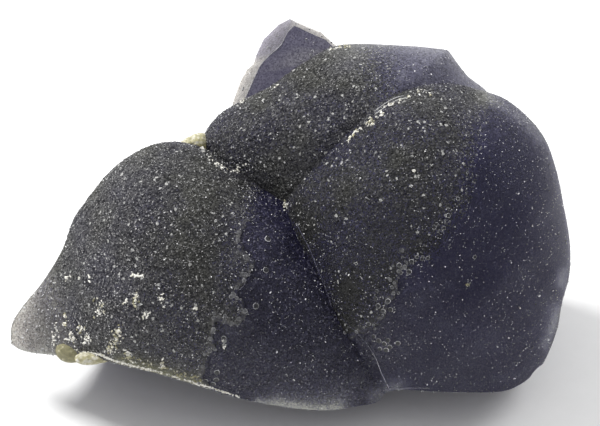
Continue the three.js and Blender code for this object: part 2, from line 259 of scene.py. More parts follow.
def wave(p):
    """The broad unevenness of a lump, in millimetres."""
    a = p * 2 * math.pi / WAVE_LENGTH
    broad = np.sin(0.71 * a[:, 0] + 0.43 * a[:, 1] + 1.3) * np.sin(0.62 * a[:, 2] - 0.31 * a[:, 0] + 0.4)
    short = np.sin(1.37 * a[:, 2] + 0.82 * a[:, 1] + 2.1) * np.sin(1.21 * a[:, 0] - 0.53 * a[:, 2])
    return WAVE_HEIGHT * (broad + 0.5 * short)


def object_from(mesh, name):
    made = bpy.data.objects.new(name, mesh)
    bpy.context.scene.collection.objects.link(made)
    return made


def points_of(mesh):
    flat = np.empty(3 * len(mesh.vertices))
    mesh.vertices.foreach_get("co", flat)
    return flat.reshape(-1, 3)


def normals_of(mesh):
    flat = np.empty(3 * len(mesh.vertices))
    mesh.vertex_normals.foreach_get("vector", flat)
    return flat.reshape(-1, 3)


def set_points(mesh, points):
    mesh.vertices.foreach_set("co", np.ascontiguousarray(points).ravel())
    mesh.update()


def ball(divisions):
    """A ball of triangles, of radius 1."""
    made = bmesh.new()
    bmesh.ops.create_icosphere(made, subdivisions=divisions, radius=1)
    mesh = bpy.data.meshes.new("ball")
    made.to_mesh(mesh)
    made.free()
    return mesh


# The surfaces that the body is made of, kept as the material index of its faces while it is joined.
LEFT, RIGHT, TOP, GROUND, UNDERSIDE, BACK, BASE, SPLINTER, SUNK = range(9)
LUMP_DIVISIONS = 7


def marked(mesh, name, surface):
    """An object whose faces all say which surface they belong to."""
    made = object_from(mesh, name)
    while len(mesh.materials) <= SUNK:
        mesh.materials.append(None)
    mesh.polygons.foreach_set("material_index", [surface] * len(mesh.polygons))
    return made


def lump(form, surface, grow=0, crust=None):
    """A sphere drawn out to its outline, with one dome towards the viewer and one behind.

    All of it may be grown or shrunk. A crust gives how much nearer its front lies, and how much
    further out the rest of it lies, at a place seen on the growth face.
    """
    mesh = ball(LUMP_DIVISIONS)
    p = points_of(mesh)
    share = np.minimum(np.hypot(p[:, 0], p[:, 2]), 1)
    angle = np.arctan2(p[:, 2] * form["stretch"][1], p[:, 0] * form["stretch"][0]) + form["tilt"]
    across = share * reach_of(form)(angle)
    middle = form["middle"]
    q = np.stack([middle[0] + across * np.cos(angle), np.full(len(p), float(middle[1])),
                  middle[2] + across * np.sin(angle)], axis=1)
    height, front, back = bulges(form, q[:, 0], share)
    rounded = np.minimum(1, WAVE_FADE * height)
    uneven = wave(q) * rounded
    q[:, 1] += np.where(p[:, 1] < 0, -front - uneven, back + uneven)
    if crust:
        nearer, grow = crust(q)
        q[:, 1] -= np.where(p[:, 1] < 0, nearer * rounded, 0)
        grow = grow[:, None]
    set_points(mesh, to_world(q))
    set_points(mesh, points_of(mesh) + grow * MM * normals_of(mesh))
    return marked(mesh, "lump", surface)


def slab(rings, name, surface):
    """A solid through outlines of as many points of the growth face, each listed anticlockwise."""
    count = len(rings[0])
    faces = [range(count), range(len(rings) * count - 1, (len(rings) - 1) * count - 1, -1)]
    for start in range(0, (len(rings) - 1) * count, count):
        faces += [(start + (i + 1) % count, start + i, start + count + i, start + count + (i + 1) % count)
                  for i in range(count)]
    mesh = bpy.data.meshes.new(name)
    mesh.from_pydata(to_world(np.vstack(rings)).tolist(), [], [tuple(face) for face in faces])
    body = bmesh.new()
    body.from_mesh(mesh)
    bmesh.ops.triangulate(body, faces=[face for face in body.faces if len(face.verts) > 4])
    bmesh.ops.recalc_face_normals(body, faces=body.faces)
    body.to_mesh(mesh)
    body.free()
    return marked(mesh, name, surface)


def ring(outline, depth, rise=0):
    """An outline seen on the growth face, at a depth. With a rise, it climbs as it goes back."""
    share = 1 + depth / VIEW_DISTANCE
    climb = rise * max(depth - RIM_DEPTH, 0)
    return np.array([(x * share, depth, z * share + climb) for x, z in outline])


def apply_modifiers(piece):
    graph = bpy.context.evaluated_depsgraph_get()
    graph.update()
    made = bpy.data.meshes.new_from_object(piece.evaluated_get(graph))
    piece.modifiers.clear()
    piece.data = made


def combine(base, other, how):
    """Joins, cuts or crosses two solids, and deletes the second."""
    step = base.modifiers.new("combine", "BOOLEAN")
    step.operation = how
    step.solver = "MANIFOLD"
    step.material_mode = "INDEX"
    step.object = other
    apply_modifiers(base)
    bpy.data.objects.remove(other)


def joined_lumps(name, grow=0):
    made = lump(LEFT_LUMP, LEFT, grow)
    made.name = name
    combine(made, lump(RIGHT_LUMP, RIGHT, grow), "UNION")
    combine(made, lump(TOP_LUMP, TOP, grow), "UNION")
    combine(made, lump(GROUND_MASS, GROUND, grow), "UNION")
    return made


RIM = [
    (-52.0, -21.6), (-46.3, -22.4), (-45.4, -22.9), (-43.6, -23.2), (-38.7, -23.2), (-34.5, -23.4),
    (-31.5, -23.8), (-27.2, -24.8), (-24.2, -25.5), (-18.4, -27.2), (-15.2, -28.2), (-11.6, -29.4),
    (-8.0, -30.3), (-4.8, -30.9), (0.0, -31.6), (4.8, -31.8), (9.7, -31.1), (12.6, -30.5), (14.3, -28.8),
    (24.2, -28.9), (32.3, -28.8), (34.9, -28.1), (36.8, -27.2), (38.6, -25.4), (52.0, -25.0),
]
RIM_RISE = 0.2
RIM_DEPTH = -6
RIM_DEPTHS = np.linspace(-30, 40, 57)
RIM_UNEVEN = 0.35
RIM_STEPS = 9
CUT_DEPTH = 45


def hackly(p, size):
    """The steps of a broken face of fluorite: short flat treads that meet at ridges, from -1 to 1."""
    total = 0
    for octave, (turn, seed) in enumerate(((0.4, 1.7), (1.9, 4.3), (2.7, 0.6), (1.2, 3.1))):
        a = 2 * math.pi * 2**octave / size
        along = p[:, 0] * math.cos(turn) + p[:, 1] * math.sin(turn)
        over = p[:, 1] * math.cos(turn) - p[:, 0] * math.sin(turn)
        bent = a * along + 1.3 * np.sin(0.6 * a * over + seed)
        treads = (2 / math.pi) * np.arcsin(np.sin(bent))
        total = total + treads * (0.6 + 0.4 * np.sin(0.37 * a * over)) / 1.9**octave
    return total / 1.6


def below_rim():
    """What is broken away below the rim. Its upper face is seen edge on, and rises backwards."""
    edge = smooth_line(RIM, False, 6)
    edge = np.vstack([edge[:1] - (0, CUT_DEPTH), edge[-1:] - (0, CUT_DEPTH), edge[::-1]])
    rings = [ring(edge, depth, RIM_RISE) for depth in RIM_DEPTHS]
    for made in rings:
        away = np.clip((made[2:, 1] - RIM_DEPTH - 4) / 6, 0, 1)
        made[2:, 2] += RIM_UNEVEN * away * hackly(made[2:, :2], RIM_STEPS)
    return slab(rings, "below_rim", UNDERSIDE)


BROKEN_FACES = [
    {"at": (-16, 10, 8.4), "facing": (-0.52, 0.84, 0.5), "rough": 0.9, "seed": 3},
    {"at": (20, 13.8, 11.6), "facing": (0.22, 0.9, 0.49), "rough": 1.1, "seed": 11},
]
BROKEN_SPAN = 120
BROKEN_STEP = 0.8
BROKEN_STEPS = 14


def broken_away(face):
    """A block behind a broken face, whose front is hackly."""
    steps = int(BROKEN_SPAN / BROKEN_STEP)
    grid = (np.arange(steps + 1) / steps - 0.5) * BROKEN_SPAN
    x, y = [a.ravel() for a in np.meshgrid(grid, grid)]
    treads = face["rough"] * hackly(np.stack([x + face["seed"], y], axis=1), BROKEN_STEPS)
    front = np.stack([x, y, treads], axis=1)
    local = np.vstack([front, front + (0, 0, BROKEN_SPAN / 2)])
    turn = Vector((0, 0, 1)).rotation_difference(Vector(face["facing"]).normalized()).to_matrix()
    place = local @ np.array(turn).T + face["at"]
    row = steps + 1
    start = (np.arange(steps)[:, None] * row + np.arange(steps)[None]).ravel()
    quads = np.stack([start, start + row, start + row + 1, start + 1], axis=1)
    last = row * row - 1
    edge = np.concatenate([np.arange(row - 1), np.arange(row - 1, last, row),
                           np.arange(last, last - row + 1, -1), np.arange(last - row + 1, 0, -row)])
    after = np.roll(edge, -1)
    sides = np.stack([edge, after, after + len(front), edge + len(front)], axis=1)
    mesh = bpy.data.meshes.new("broken")
    faces = np.vstack([quads, quads[:, ::-1] + len(front), sides])
    mesh.from_pydata(to_world(place).tolist(), [], faces.tolist())
    return marked(mesh, "broken", BACK)


def below_base():
    """What is cut off flat below the base."""
    reach, depth = 0.3, 0.1
    square = ((-1, -1), (1, -1), (1, 1), (-1, 1))
    mesh = bpy.data.meshes.new("below_base")
    corners = [(x * reach, y * reach, z) for z in (-depth, 0) for x, y in square]
    faces = [(3, 2, 1, 0), (4, 5, 6, 7)] + [(i, (i + 1) % 4, 4 + (i + 1) % 4, 4 + i) for i in range(4)]
    mesh.from_pydata(corners, [], faces)
    return marked(mesh, "below_base", BASE)


SPLINTER_NEAR = [
    (-9.9, 5.0), (6.0, 5.0), (6.1, 26.5), (5.6, 27.2), (4.2, 28.5), (1.9, 29.5), (-0.2, 30.5), (-0.9, 30.8),
    (-2.3, 29.4), (-3.1, 27.7), (-4.4, 26.4), (-5.9, 25.0), (-6.6, 24.0), (-7.3, 22.8), (-9.0, 18.9),
]
SPLINTER_FAR = [
    (-12.2, 5.0), (8.0, 5.0), (6.7, 27.5), (5.6, 28.5), (4.6, 29.4), (3.6, 30.3), (0.2, 31.7), (-1.7, 32.6),
    (-3.6, 31.6), (-6.1, 29.2), (-7.4, 26.4), (-7.8, 25.0), (-8.9, 24.1), (-10.0, 22.1), (-11.3, 18.5),
]
SPLINTER_DEPTHS = (5.5, 11)


def broken_and_cut(stone):
    """Breaks a joined stone off below and behind."""
    combine(stone, below_rim(), "DIFFERENCE")
    for face in BROKEN_FACES:
        combine(stone, broken_away(face), "DIFFERENCE")


def laid_flat(outline, depth):
    return np.array([(x, depth, z) for x, z in outline])


stone = joined_lumps("fluorite_body")
broken_and_cut(stone)
splinter_rings = [laid_flat(SPLINTER_NEAR, SPLINTER_DEPTHS[0]), laid_flat(SPLINTER_FAR, SPLINTER_DEPTHS[1])]
combine(stone, slab(splinter_rings, "splinter", SPLINTER), "UNION")
combine(stone, below_base(), "DIFFERENCE")


def kinds_of(mesh):
    kinds = np.empty(len(mesh.polygons), dtype=np.int32)
    mesh.polygons.foreach_get("material_index", kinds)
    return kinds


# Where the crusts end on the lumps. Each ledge is listed from the top down, and its crust lies to the
# left of the way down it.
LEFT_LEDGE = [
    (-5.5, 9.0), (-7.6, 5.0), (-9.1, 2.1), (-8.7, -0.7), (-9.8, -3.2), (-10.0, -6.0), (-8.7, -7.1),
    (-7.6, -8.9), (-8.7, -9.9), (-9.8, -11.7), (-10.8, -13.1), (-9.6, -14.5), (-9.1, -16.0),
    (-10.0, -17.9), (-12.1, -17.4), (-13.9, -16.5), (-14.0, -18.1), (-14.4, -20.2), (-14.0, -22.0),
    (-15.1, -23.1), (-15.3, -24.5), (-16.0, -25.9), (-15.2, -29.5),
]
LEFT_BEYOND = [(-16, -36), (-35, -36), (-54.6, 20), (-6, 20)]
RIGHT_LEDGE = [
    (29.9, 17.4), (27.7, 12.9), (26.3, 6.5), (25.6, 2.5), (23.6, -1.1), (22.3, -4.7), (20.5, -7.0),
    (18.6, -7.2), (17.1, -8.4), (15.3, -9.7), (15.5, -12.0), (13.7, -14.7), (13.2, -16.5),
    (11.4, -18.3), (7.0, -19.5),
]
RIGHT_BEYOND = [(-14, -20), (-14, 32), (34, 32)]


def inside(points, outline):
    """Which points of the growth face lie inside an outline."""
    x, z = points[:, 0], points[:, 1]
    found = np.zeros(len(points), dtype=bool)
    corners = np.asarray(outline, dtype=float)
    for (ax, az), (bx, bz) in zip(corners, np.roll(corners, -1, axis=0)):
        crosses = (az > z) != (bz > z)
        where = ax + (z - az) * (bx - ax) / (bz - az if bz != az else 1e-9)
        found ^= crosses & (x < where)
    return found


def distance_to(points, line):
    """How far points of the growth face lie from a line through others, or from a single one."""
    line = np.asarray(line, dtype=float)
    if len(line) == 1:
        return np.linalg.norm(points - line, axis=1)
    nearest = np.full(len(points), np.inf)
    for a, b in zip(line[:-1], line[1:]):
        along = np.clip(((points - a) @ (b - a)) / max((b - a) @ (b - a), 1e-9), 0, 1)
        nearest = np.minimum(nearest, np.linalg.norm(points - a - along[:, None] * (b - a), axis=1))
    return nearest


def corners_of(mesh):
    """Each face corner's point, and the index of its face."""
    which = np.empty(len(mesh.loops), dtype=np.int32)
    mesh.loops.foreach_get("vertex_index", which)
    sizes = np.empty(len(mesh.polygons), dtype=np.int32)
    mesh.polygons.foreach_get("loop_total", sizes)
    return points_of(mesh)[which], np.repeat(np.arange(len(sizes)), sizes)


def set_mask(mesh, name, values, domain="CORNER"):
    made = mesh.attributes.new(name, "FLOAT", domain)
    made.data.foreach_set("value", np.ascontiguousarray(values, dtype=np.float32))


TAIL_EDGE = (-42, -35)
TAIL_HELD = (-37, -30)
TOP_FADE = (8, 22)
TOP_HELD = (-3, 10)
SOFT_END = 4.5
LEFT_SOFT_ABOVE = -2
RIGHT_SOFT_ABOVE = -9
STRAY_REACH = 3
STRAY_LEFT = (0.2, 0.1)
STRAY_RIGHT = 0.3
left_ledge = smooth_line(LEFT_LEDGE, False, 3)
right_ledge = smooth_line(RIGHT_LEDGE, False, 3)


def along_tail(place):
    """How far right a place lies, measured square to the end of the crust on the tail."""
    return place[:, 0] + 0.35 * (place[:, 1] + 20)


def along_top(place):
    """How far right a place lies, measured square to the end of the crust on the top lump."""
    return place[:, 0] + 0.2 * (place[:, 1] - 17)


def tail_share(place):
    """1 on the left lump's clear tail, 0 on its body."""
    return 1 - smoothstep(along_tail(place), *TAIL_EDGE)


def softness(place, soft_above):
    """0 where a crust ends in a ledge, 1 higher up, where it thins out to nothing."""
    return smoothstep(place[:, 1], soft_above - 3, soft_above + 4)


def druse_at(place, ledge, beyond, soft_above):
    """1 on a crust and 0 beyond it. It ends sharply at a ledge and softly above it."""
    side = np.where(inside(place, np.vstack([ledge, beyond])), 1, -1)
    width = 0.3 + SOFT_END * softness(place, soft_above)
    return smoothstep(side * distance_to(place, ledge), -width, 0.25 * width)


def held_at(place, ledge, soft_above):
    """How much of its thickness a crust keeps towards its end: all of it at a ledge, none above it."""
    inward = smoothstep(distance_to(place, ledge), 0.2 * SOFT_END, 1.4 * SOFT_END)
    return 1 - softness(place, soft_above) * (1 - inward)


def crusted(place, kind):
    """How much of the skin is quartz grains: all of it on the crusts, a few grains beyond them."""
    left = druse_at(place, left_ledge, LEFT_BEYOND, LEFT_SOFT_ABOVE) * (1 - tail_share(place))
    right = druse_at(place, right_ledge, RIGHT_BEYOND, RIGHT_SOFT_ABOVE)
    near_left, near_right = [np.exp(-distance_to(place, ledge) / STRAY_REACH)
                             for ledge in (left_ledge, right_ledge)]
    left = np.maximum(left, STRAY_LEFT[0] + STRAY_LEFT[1] * near_left)
    right = np.maximum(right, STRAY_RIGHT * near_right)
    top = 1 - smoothstep(along_top(place), *TOP_FADE)
    return np.select([kind == LEFT, kind == RIGHT, kind == TOP], [left, right, top], 0)


def by_lump(place, kind, levels, elsewhere=0):
    """A level that each lump has its own start for, and its own changes across (x) or up (z) the face."""
    made = np.full(len(place), float(elsewhere))
    for surface, (start, *changes) in levels.items():
        level = np.full(len(place), float(start))
        for axis, low, high, change in changes:
            level = level + change * smoothstep(place[:, "xz".index(axis)], low, high)
        made = np.where(kind == surface, level, made)
    return made


# How bright the frosted grains are, with painted light and shade in it: painted shade dims them towards the
# foot of the left and the right lump, and painted light brightens them upward, towards the left lump's tail
# and towards the top lump's right.
FROST_AND_LIGHT = {
    LEFT: (0.95, ("x", -34, -14, -0.45), ("z", -6, 8, 0.2)),
    RIGHT: (0.02, ("z", -12, 8, 0.46), ("z", 12, 19, 0.3)),
    TOP: (0.72, ("x", 0, 12, 0.16), ("z", 18, 26, 0.16)),
}
FROST_AND_LIGHT_ELSEWHERE = 0.3

# A haze of grains too small to see, with painted light in it: it grows upward on the left and the right lump
# and towards the right on the top lump, and it brightens along the top lump's ridge. It has soft lines and
# spots, each with its points, its reach and how bright it is.
HAZE_AND_LIGHT = {LEFT: (0.02, ("z", -20, 0, 0.03)), RIGHT: (0.02, ("z", 6, 18, 0.14)), TOP: (0.1, ("x", 6, 21, 0.5))}
HAZE_BANDS = {"middle": (19.4, -14.8), "spacing": 2.6, "reach": 9, "bright": 0.06}
HAZY_SPOTS = [
    ([(14.8, 24.4)], 0.7, 0.3), ([(22.3, 24.4)], 0.6, 0.35), ([(16.4, 22.1)], 0.8, 0.25),
    ([(8.5, 11.4)], 1.4, 0.2), ([(20.8, 11.5)], 2.4, 0.2), ([(25.5, -19.5)], 2.6, 0.1),
    ([(30.5, -20.5)], 2.6, 0.1), ([(19.0, -11.0)], 2.2, 0.1),
]
GROWTH_LINES = [
    ([(10.0, 2.1), (15.5, 5.3), (21.0, 7.7)], 0.35, 0.12),
    ([(32.4, -22.1), (37.3, -19.2), (40.9, -14.8)], 0.5, 0.14),
    ([(31.1, -27.2), (35.0, -26.2), (38.4, -24.2)], 0.4, 0.14),
    ([(17.0, -16.1), (18.1, -16.4), (18.9, -16.9)], 0.25, 0.3),
]
TOP_RIDGE = [(8.0, 27.2), (16.0, 27.0), (23.8, 26.0), (27.0, 22.1), (30.3, 19.3)]
RIDGE_LIGHT = {"reach": 1.8, "bright": 0.3}


def lights_on(place, lights):
    """The sum of soft lines and spots of brightness."""
    return sum(bright * np.exp(-(distance_to(place, line) / reach) ** 2) for line, reach, bright in lights)


# Painted light in the haze: it rises upward, towards the top lump's right and along its ridge.
def haze_and_light_of(place, kind):
    out = np.hypot(*(place - HAZE_BANDS["middle"]).T)
    bands = np.sin(2 * math.pi * out / HAZE_BANDS["spacing"]) * np.exp(-(out / HAZE_BANDS["reach"]) ** 2)
    on_right = HAZE_BANDS["bright"] * bands + lights_on(place, GROWTH_LINES)
    on_top = RIDGE_LIGHT["bright"] * np.exp(-distance_to(place, TOP_RIDGE) / RIDGE_LIGHT["reach"])
    level = by_lump(place, kind, HAZE_AND_LIGHT) + (kind == RIGHT) * on_right + (kind == TOP) * on_top
    return level + lights_on(place, HAZY_SPOTS)


def facing_of(mesh):
    """How squarely each face looks at the camera, from -1 to 1."""
    flat = np.empty(3 * len(mesh.polygons))
    mesh.polygons.foreach_get("normal", flat)
    forward = to_world([0, -1, 0]) - to_world([0, 0, 0])
    return flat.reshape(-1, 3) @ (forward / MM)


# How clear the splinter is on its bevels and its flat face, with a pale glow painted where it is clear, and
# how hazy that face is and how much even violet glow is painted on it.
BEVEL_GLOW = 1.0
UPPER_LOBE = {"left_of": -1.6, "above": 24.6, "clear": 0.5}
SPLINTER_FACE_GLOW = 0.1
SPLINTER_HAZE = 0.6
SPLINTER_HAZES = [([(1.3, 25.6)], 1.8, 0.6), ([(3.2, 26.1)], 1.7, 0.6)]
FLAT_FACE = 0.9

# The thin, clear edges, with a pale glow painted on them where the light shines through, and a thin dark line
# painted along the outline. The bare part of the right lump has an even violet glow painted on it.
EDGE_GLOW_BAND = 0.7
TAIL_RIM_GLOW = 0.25
RIDGE_EDGE_GLOW = {"reach": 1.6, "bright": 0.22}
DARK_OUTLINE_BAND = 0.25
OUTLINE_PAINTED_DARK = 0.7
VIOLET_PAINTED_GLOW = 0.6
GLOW_FROM = (8, 20)
GLOW_BELOW = (8, 16)
SPLINTER_PAINTED_GLOW = 0.6
GLOWING_EDGES = [
    ([(-6.9, -30.4), (-2.0, -31.2), (2.5, -31.8), (6.0, -31.6)], 0.8, 0.6),
    ([(-3.0, -31.0), (2.5, -31.4), (6.5, -31.0)], 2.4, 0.42),
    ([(12.4, -29.6), (14.3, -28.4), (16.0, -28.2)], 1.6, 0.42),
    ([(-45.2, -21.8), (-43.6, -22.5), (-38.9, -22.9)], 0.3, 0.8),
    ([(-41.5, -21.9), (-39.2, -21.6)], 0.8, 0.35),
    ([(30.5, 18.6), (36.0, 15.0), (38.6, 12.0)], 1.1, 0.28),
    ([(42.4, -9.6), (42.0, -11.4)], 0.8, 0.42),
    ([(41.5, -15.9), (40.9, -17.8)], 0.9, 0.44),
    ([(40.5, -19.0), (39.4, -21.2)], 0.9, 0.38),
]

corner, owner = corners_of(stone.data)
place = seen(corner)
kind = kinds_of(stone.data)[owner]
tail = np.where(kind == LEFT, tail_share(place), 0)
tail_line = smooth_line(LEFT_LUMP["outline"][-2:] + LEFT_LUMP["outline"][:5], False, 4)
right_line = smooth_line(RIGHT_LUMP["outline"][2:13], False, 4)
# Painted glow along the clear tail's outline, along the top ridge and at the thin edges.
tail_rim_glow = TAIL_RIM_GLOW * tail * np.exp(-distance_to(place, tail_line) / EDGE_GLOW_BAND)
ridge = RIDGE_EDGE_GLOW["bright"] * np.exp(-distance_to(place, TOP_RIDGE) / RIDGE_EDGE_GLOW["reach"])
edge_glow = np.where(kind == TOP, ridge, lights_on(place, GLOWING_EDGES)) * np.isin(kind, (LEFT, RIGHT, TOP))
lobe = (place[:, 0] < UPPER_LOBE["left_of"]) & (place[:, 1] > UPPER_LOBE["above"])
bevel = np.where(lobe, UPPER_LOBE["clear"], BEVEL_GLOW)
flat = facing_of(stone.data)[owner] > FLAT_FACE
split = np.where(flat, SPLINTER_FACE_GLOW, bevel)
hazy = (SPLINTER_HAZE + lights_on(place, SPLINTER_HAZES)) * flat
# A painted dark line along the right lump's and the tail's outline.
dark_line = np.where(kind == RIGHT, distance_to(place, right_line), distance_to(place, tail_line[4:]))
# Painted violet glow on the right lump's right, below its top.
glow = smoothstep(place[:, 0], *GLOW_FROM) * (1 - smoothstep(place[:, 1], *GLOW_BELOW)) * (kind == RIGHT)
broken = np.isin(kind, (UNDERSIDE, BACK, BASE))
set_mask(stone.data, "druse", crusted(place, kind))
# Painted shade at the lumps' feet, and painted light higher up and by the tail.
set_mask(stone.data, "frost_and_light", by_lump(place, kind, FROST_AND_LIGHT, FROST_AND_LIGHT_ELSEWHERE))
# The haze, with painted light upward and along the top ridge.
set_mask(stone.data, "haze", np.where(kind == SPLINTER, hazy, haze_and_light_of(place, kind)))
# A pale painted glow on the clear tail and the splinter's bevels.
set_mask(stone.data, "thin", np.where(kind == SPLINTER, split, tail))
# Painted glow at the thin edges.
set_mask(stone.data, "edge", tail_rim_glow + edge_glow)
# A painted dark line along the outline.
set_mask(stone.data, "rim", OUTLINE_PAINTED_DARK * np.isin(kind, (LEFT, RIGHT)) * np.exp(-(dark_line / DARK_OUTLINE_BAND) ** 2))
# Painted violet glow on the right lump and the splinter's flat face.
set_mask(stone.data, "glow", VIOLET_PAINTED_GLOW * glow + SPLINTER_PAINTED_GLOW * flat * (kind == SPLINTER))
set_mask(stone.data, "broken", broken)

# How deep each broken place lay below the lumps' skin, in millimetres.
whole = joined_lumps("whole")
whole_tree = BVHTree.FromObject(whole, bpy.context.evaluated_depsgraph_get())
depth = np.zeros(len(corner))
depth[broken] = [whole_tree.find_nearest(p)[3] / MM for p in corner[broken]]
set_mask(stone.data, "depth", depth)
bpy.data.objects.remove(whole)

# The grains seen in the skins, in millimetres. The finest are drawn 0.2 mm wide, as the real ones are too
# fine to show. The stain changes over some 9 mm.
FINE_GRAIN = 0.21
GRAIN = 0.38
STAIN_WIDTH = 9.0
RELIEF = 0.035 * MM
SHARP_ANGLE = math.radians(28)


def in_mm(tree):
    """The place on the piece in millimetres."""
    spot = node(tree, "ShaderNodeTexCoord").outputs["Object"]
    return node(tree, "ShaderNodeVectorMath", {0: spot, "Scale": 1 / MM}, operation="SCALE").outputs[0]


def grains(tree, spot, width):
    """Grains of a width in millimetres: three random numbers for each, and how high it stands."""
    made = node(tree, "ShaderNodeTexVoronoi", {"Vector": spot, "Scale": 1 / width})
    chances = node(tree, "ShaderNodeSeparateColor", {0: made.outputs["Color"]})
    return (*chances.outputs, made.outputs["Distance"])


def frosting(tree, spot, fine):
    """Frosted quartz, and which grains of it there are. Grains from dim to pale, some white, are stained in
    patches from violet to olive; the brightest specks are painted glints, and the grains' level of brightness
    carries painted light and shade. They thin out one by one to the end of a crust, and in its parts dimmed
    by painted shade, where it is violet."""
    druse, frost_and_light = [node(tree, "ShaderNodeAttribute", attribute_name=name).outputs["Fac"]
                    for name in ("druse", "frost_and_light")]
    patches = node(tree, "ShaderNodeTexNoise", {"Vector": spot, "Scale": 1 / STAIN_WIDTH, "Detail": 2.0})
    stain = node(tree, "ShaderNodeMapRange", {
        "Value": patches.outputs["Fac"], "From Min": 0.35, "From Max": 0.65, "To Min": 1.0, "To Max": 0.0,
    }).outputs[0]
    # Where painted shade dims the grains, they thin out.
    dim = node(tree, "ShaderNodeMapRange", {"Value": frost_and_light, "To Min": 0.55, "To Max": 0.0}).outputs[0]
    bare = node(tree, "ShaderNodeMath", {0: stain, 1: dim}, operation="MULTIPLY").outputs[0]
    kept = node(tree, "ShaderNodeMath", {0: fine[2], 1: -0.8, 2: druse}, operation="MULTIPLY_ADD").outputs[0]
    kept = node(tree, "ShaderNodeMath", {0: kept, 1: bare}, operation="SUBTRACT").outputs[0]
    cover = node(tree, "ShaderNodeMapRange", {"Value": kept, "From Max": 0.2}).outputs[0]

    coarse = grains(tree, spot, GRAIN)
    lit = node(tree, "ShaderNodeMath", {0: fine[0], 1: 1.7}, operation="POWER").outputs[0]
    # Painted glints: the brightest of the fine grains turn near white.
    glint = node(tree, "ShaderNodeMapRange", {"Value": fine[1], "From Min": 0.9}).outputs[0]
    white = node(tree, "ShaderNodeMath", {0: coarse[2], 1: 0.985}, operation="GREATER_THAN").outputs[0]
    # Painted light and shade: the grains darken towards the lumps' feet and brighten higher up.
    frost_and_light = node(tree, "ShaderNodeMapRange", {"Value": frost_and_light, "From Max": 1.1, "To Min": 0.04}).outputs[0]
    pale, dark = [node(tree, "ShaderNodeMix", {0: stain, 6: linear(olive), 7: linear(violet)},
                       data_type="RGBA").outputs[2]
                  for olive, violet in (("#86867f", "#807f88"), ("#181817", "#191828"))]
    skin = node(tree, "ShaderNodeMix", {0: lit, 6: dark, 7: pale}, data_type="RGBA").outputs[2]
    skin = node(tree, "ShaderNodeMix", {0: glint, 6: skin, 7: linear("#cdccca")}, data_type="RGBA").outputs[2]
    skin = node(tree, "ShaderNodeMix", {0: frost_and_light, 6: dark, 7: skin}, data_type="RGBA").outputs[2]
    skin = node(tree, "ShaderNodeMix", {0: white, 6: skin, 7: linear("#e4e4e0")}, data_type="RGBA").outputs[2]
    return cover, skin


def violet_grains(tree, fine):
    """The violet skin of the fluorite, made of grains from dark to light."""
    return node(tree, "ShaderNodeMix", {0: fine[0], 6: linear("#1b1748"), 7: linear("#706cb2")},
                data_type="RGBA").outputs[2]


def finished(tree, colour, clear, rough, ior, gloss, absorbed, density, height):
    """The surface and the inside of a see-through mineral, with its grains standing a little proud.

    The colour that is left of white light is absorbed to a density for each metre of it.
    """
    relief = node(tree, "ShaderNodeBump", {"Height": height, "Strength": 0.4, "Distance": RELIEF}).outputs[0]
    coat = node(tree, "ShaderNodeBsdfPrincipled", {
        "Base Color": colour, "Transmission Weight": clear, "Roughness": rough, "IOR": ior,
        "Specular IOR Level": gloss, "Normal": relief})
    deep = node(tree, "ShaderNodeVolumeAbsorption", {"Color": absorbed, "Density": density})
    node(tree, "ShaderNodeOutputMaterial", {"Surface": coat.outputs[0], "Volume": deep.outputs[0]})


# Botryoidal fluorite has a satin skin of microscopic crystal faces, which spreads the light that comes
# through, and looks dark violet with the faintest sparkle. Broken, it shows its growth bands, which are
# 2.6 mm apart.
GROWTH_BAND = 2.618
fluorite = material("satin_fluorite")
tree = fluorite.node_tree
spot = in_mm(tree)
share = {name: node(tree, "ShaderNodeAttribute", attribute_name=name).outputs["Fac"]
         for name in ("haze", "thin", "edge", "rim", "glow", "broken", "depth")}
fine = grains(tree, spot, FINE_GRAIN)
frosted, frost_skin = frosting(tree, spot, fine)
# Painted sparkle: a few fine grains lighter, as glints off the satin skin.
sparkle = node(tree, "ShaderNodeMapRange", {"Value": fine[1], "From Min": 0.8}).outputs[0]
thin_glow_grains, haze_and_light_grains = [
    node(tree, "ShaderNodeMix", {0: fine[0], 6: linear(low), 7: linear(high)}, data_type="RGBA").outputs[2]
    for low, high in (("#827a73", "#fffbf2"), ("#6b6a80", "#c4c3d1"))]
unevenness = node(tree, "ShaderNodeTexNoise", {"Vector": spot, "Scale": 0.5, "Detail": 3.0}).outputs["Fac"]
bent_depth = node(tree, "ShaderNodeMath", {0: unevenness, 1: 2.0, 2: share["depth"]},
                  operation="MULTIPLY_ADD").outputs[0]
growth = node(tree, "ShaderNodeMath", {0: bent_depth, 1: 2 * math.pi / GROWTH_BAND},
              operation="MULTIPLY").outputs[0]
growth = node(tree, "ShaderNodeMath", {0: growth}, operation="SINE").outputs[0]
growth = node(tree, "ShaderNodeMapRange", {"Value": growth, "From Min": -1.0}).outputs[0]
banded = node(tree, "ShaderNodeMix", {0: growth, 6: linear("#5d577e"), 7: linear("#807a9f")},
              data_type="RGBA").outputs[2]
speckled = node(tree, "ShaderNodeMath", {0: fine[1], 1: 1.1, 2: 0.45}, operation="MULTIPLY_ADD").outputs[0]
edge_glow_grains = node(tree, "ShaderNodeMath", {0: share["edge"], 1: speckled}, operation="MULTIPLY").outputs[0]
skin = violet_grains(tree, fine)
clear = 0.93
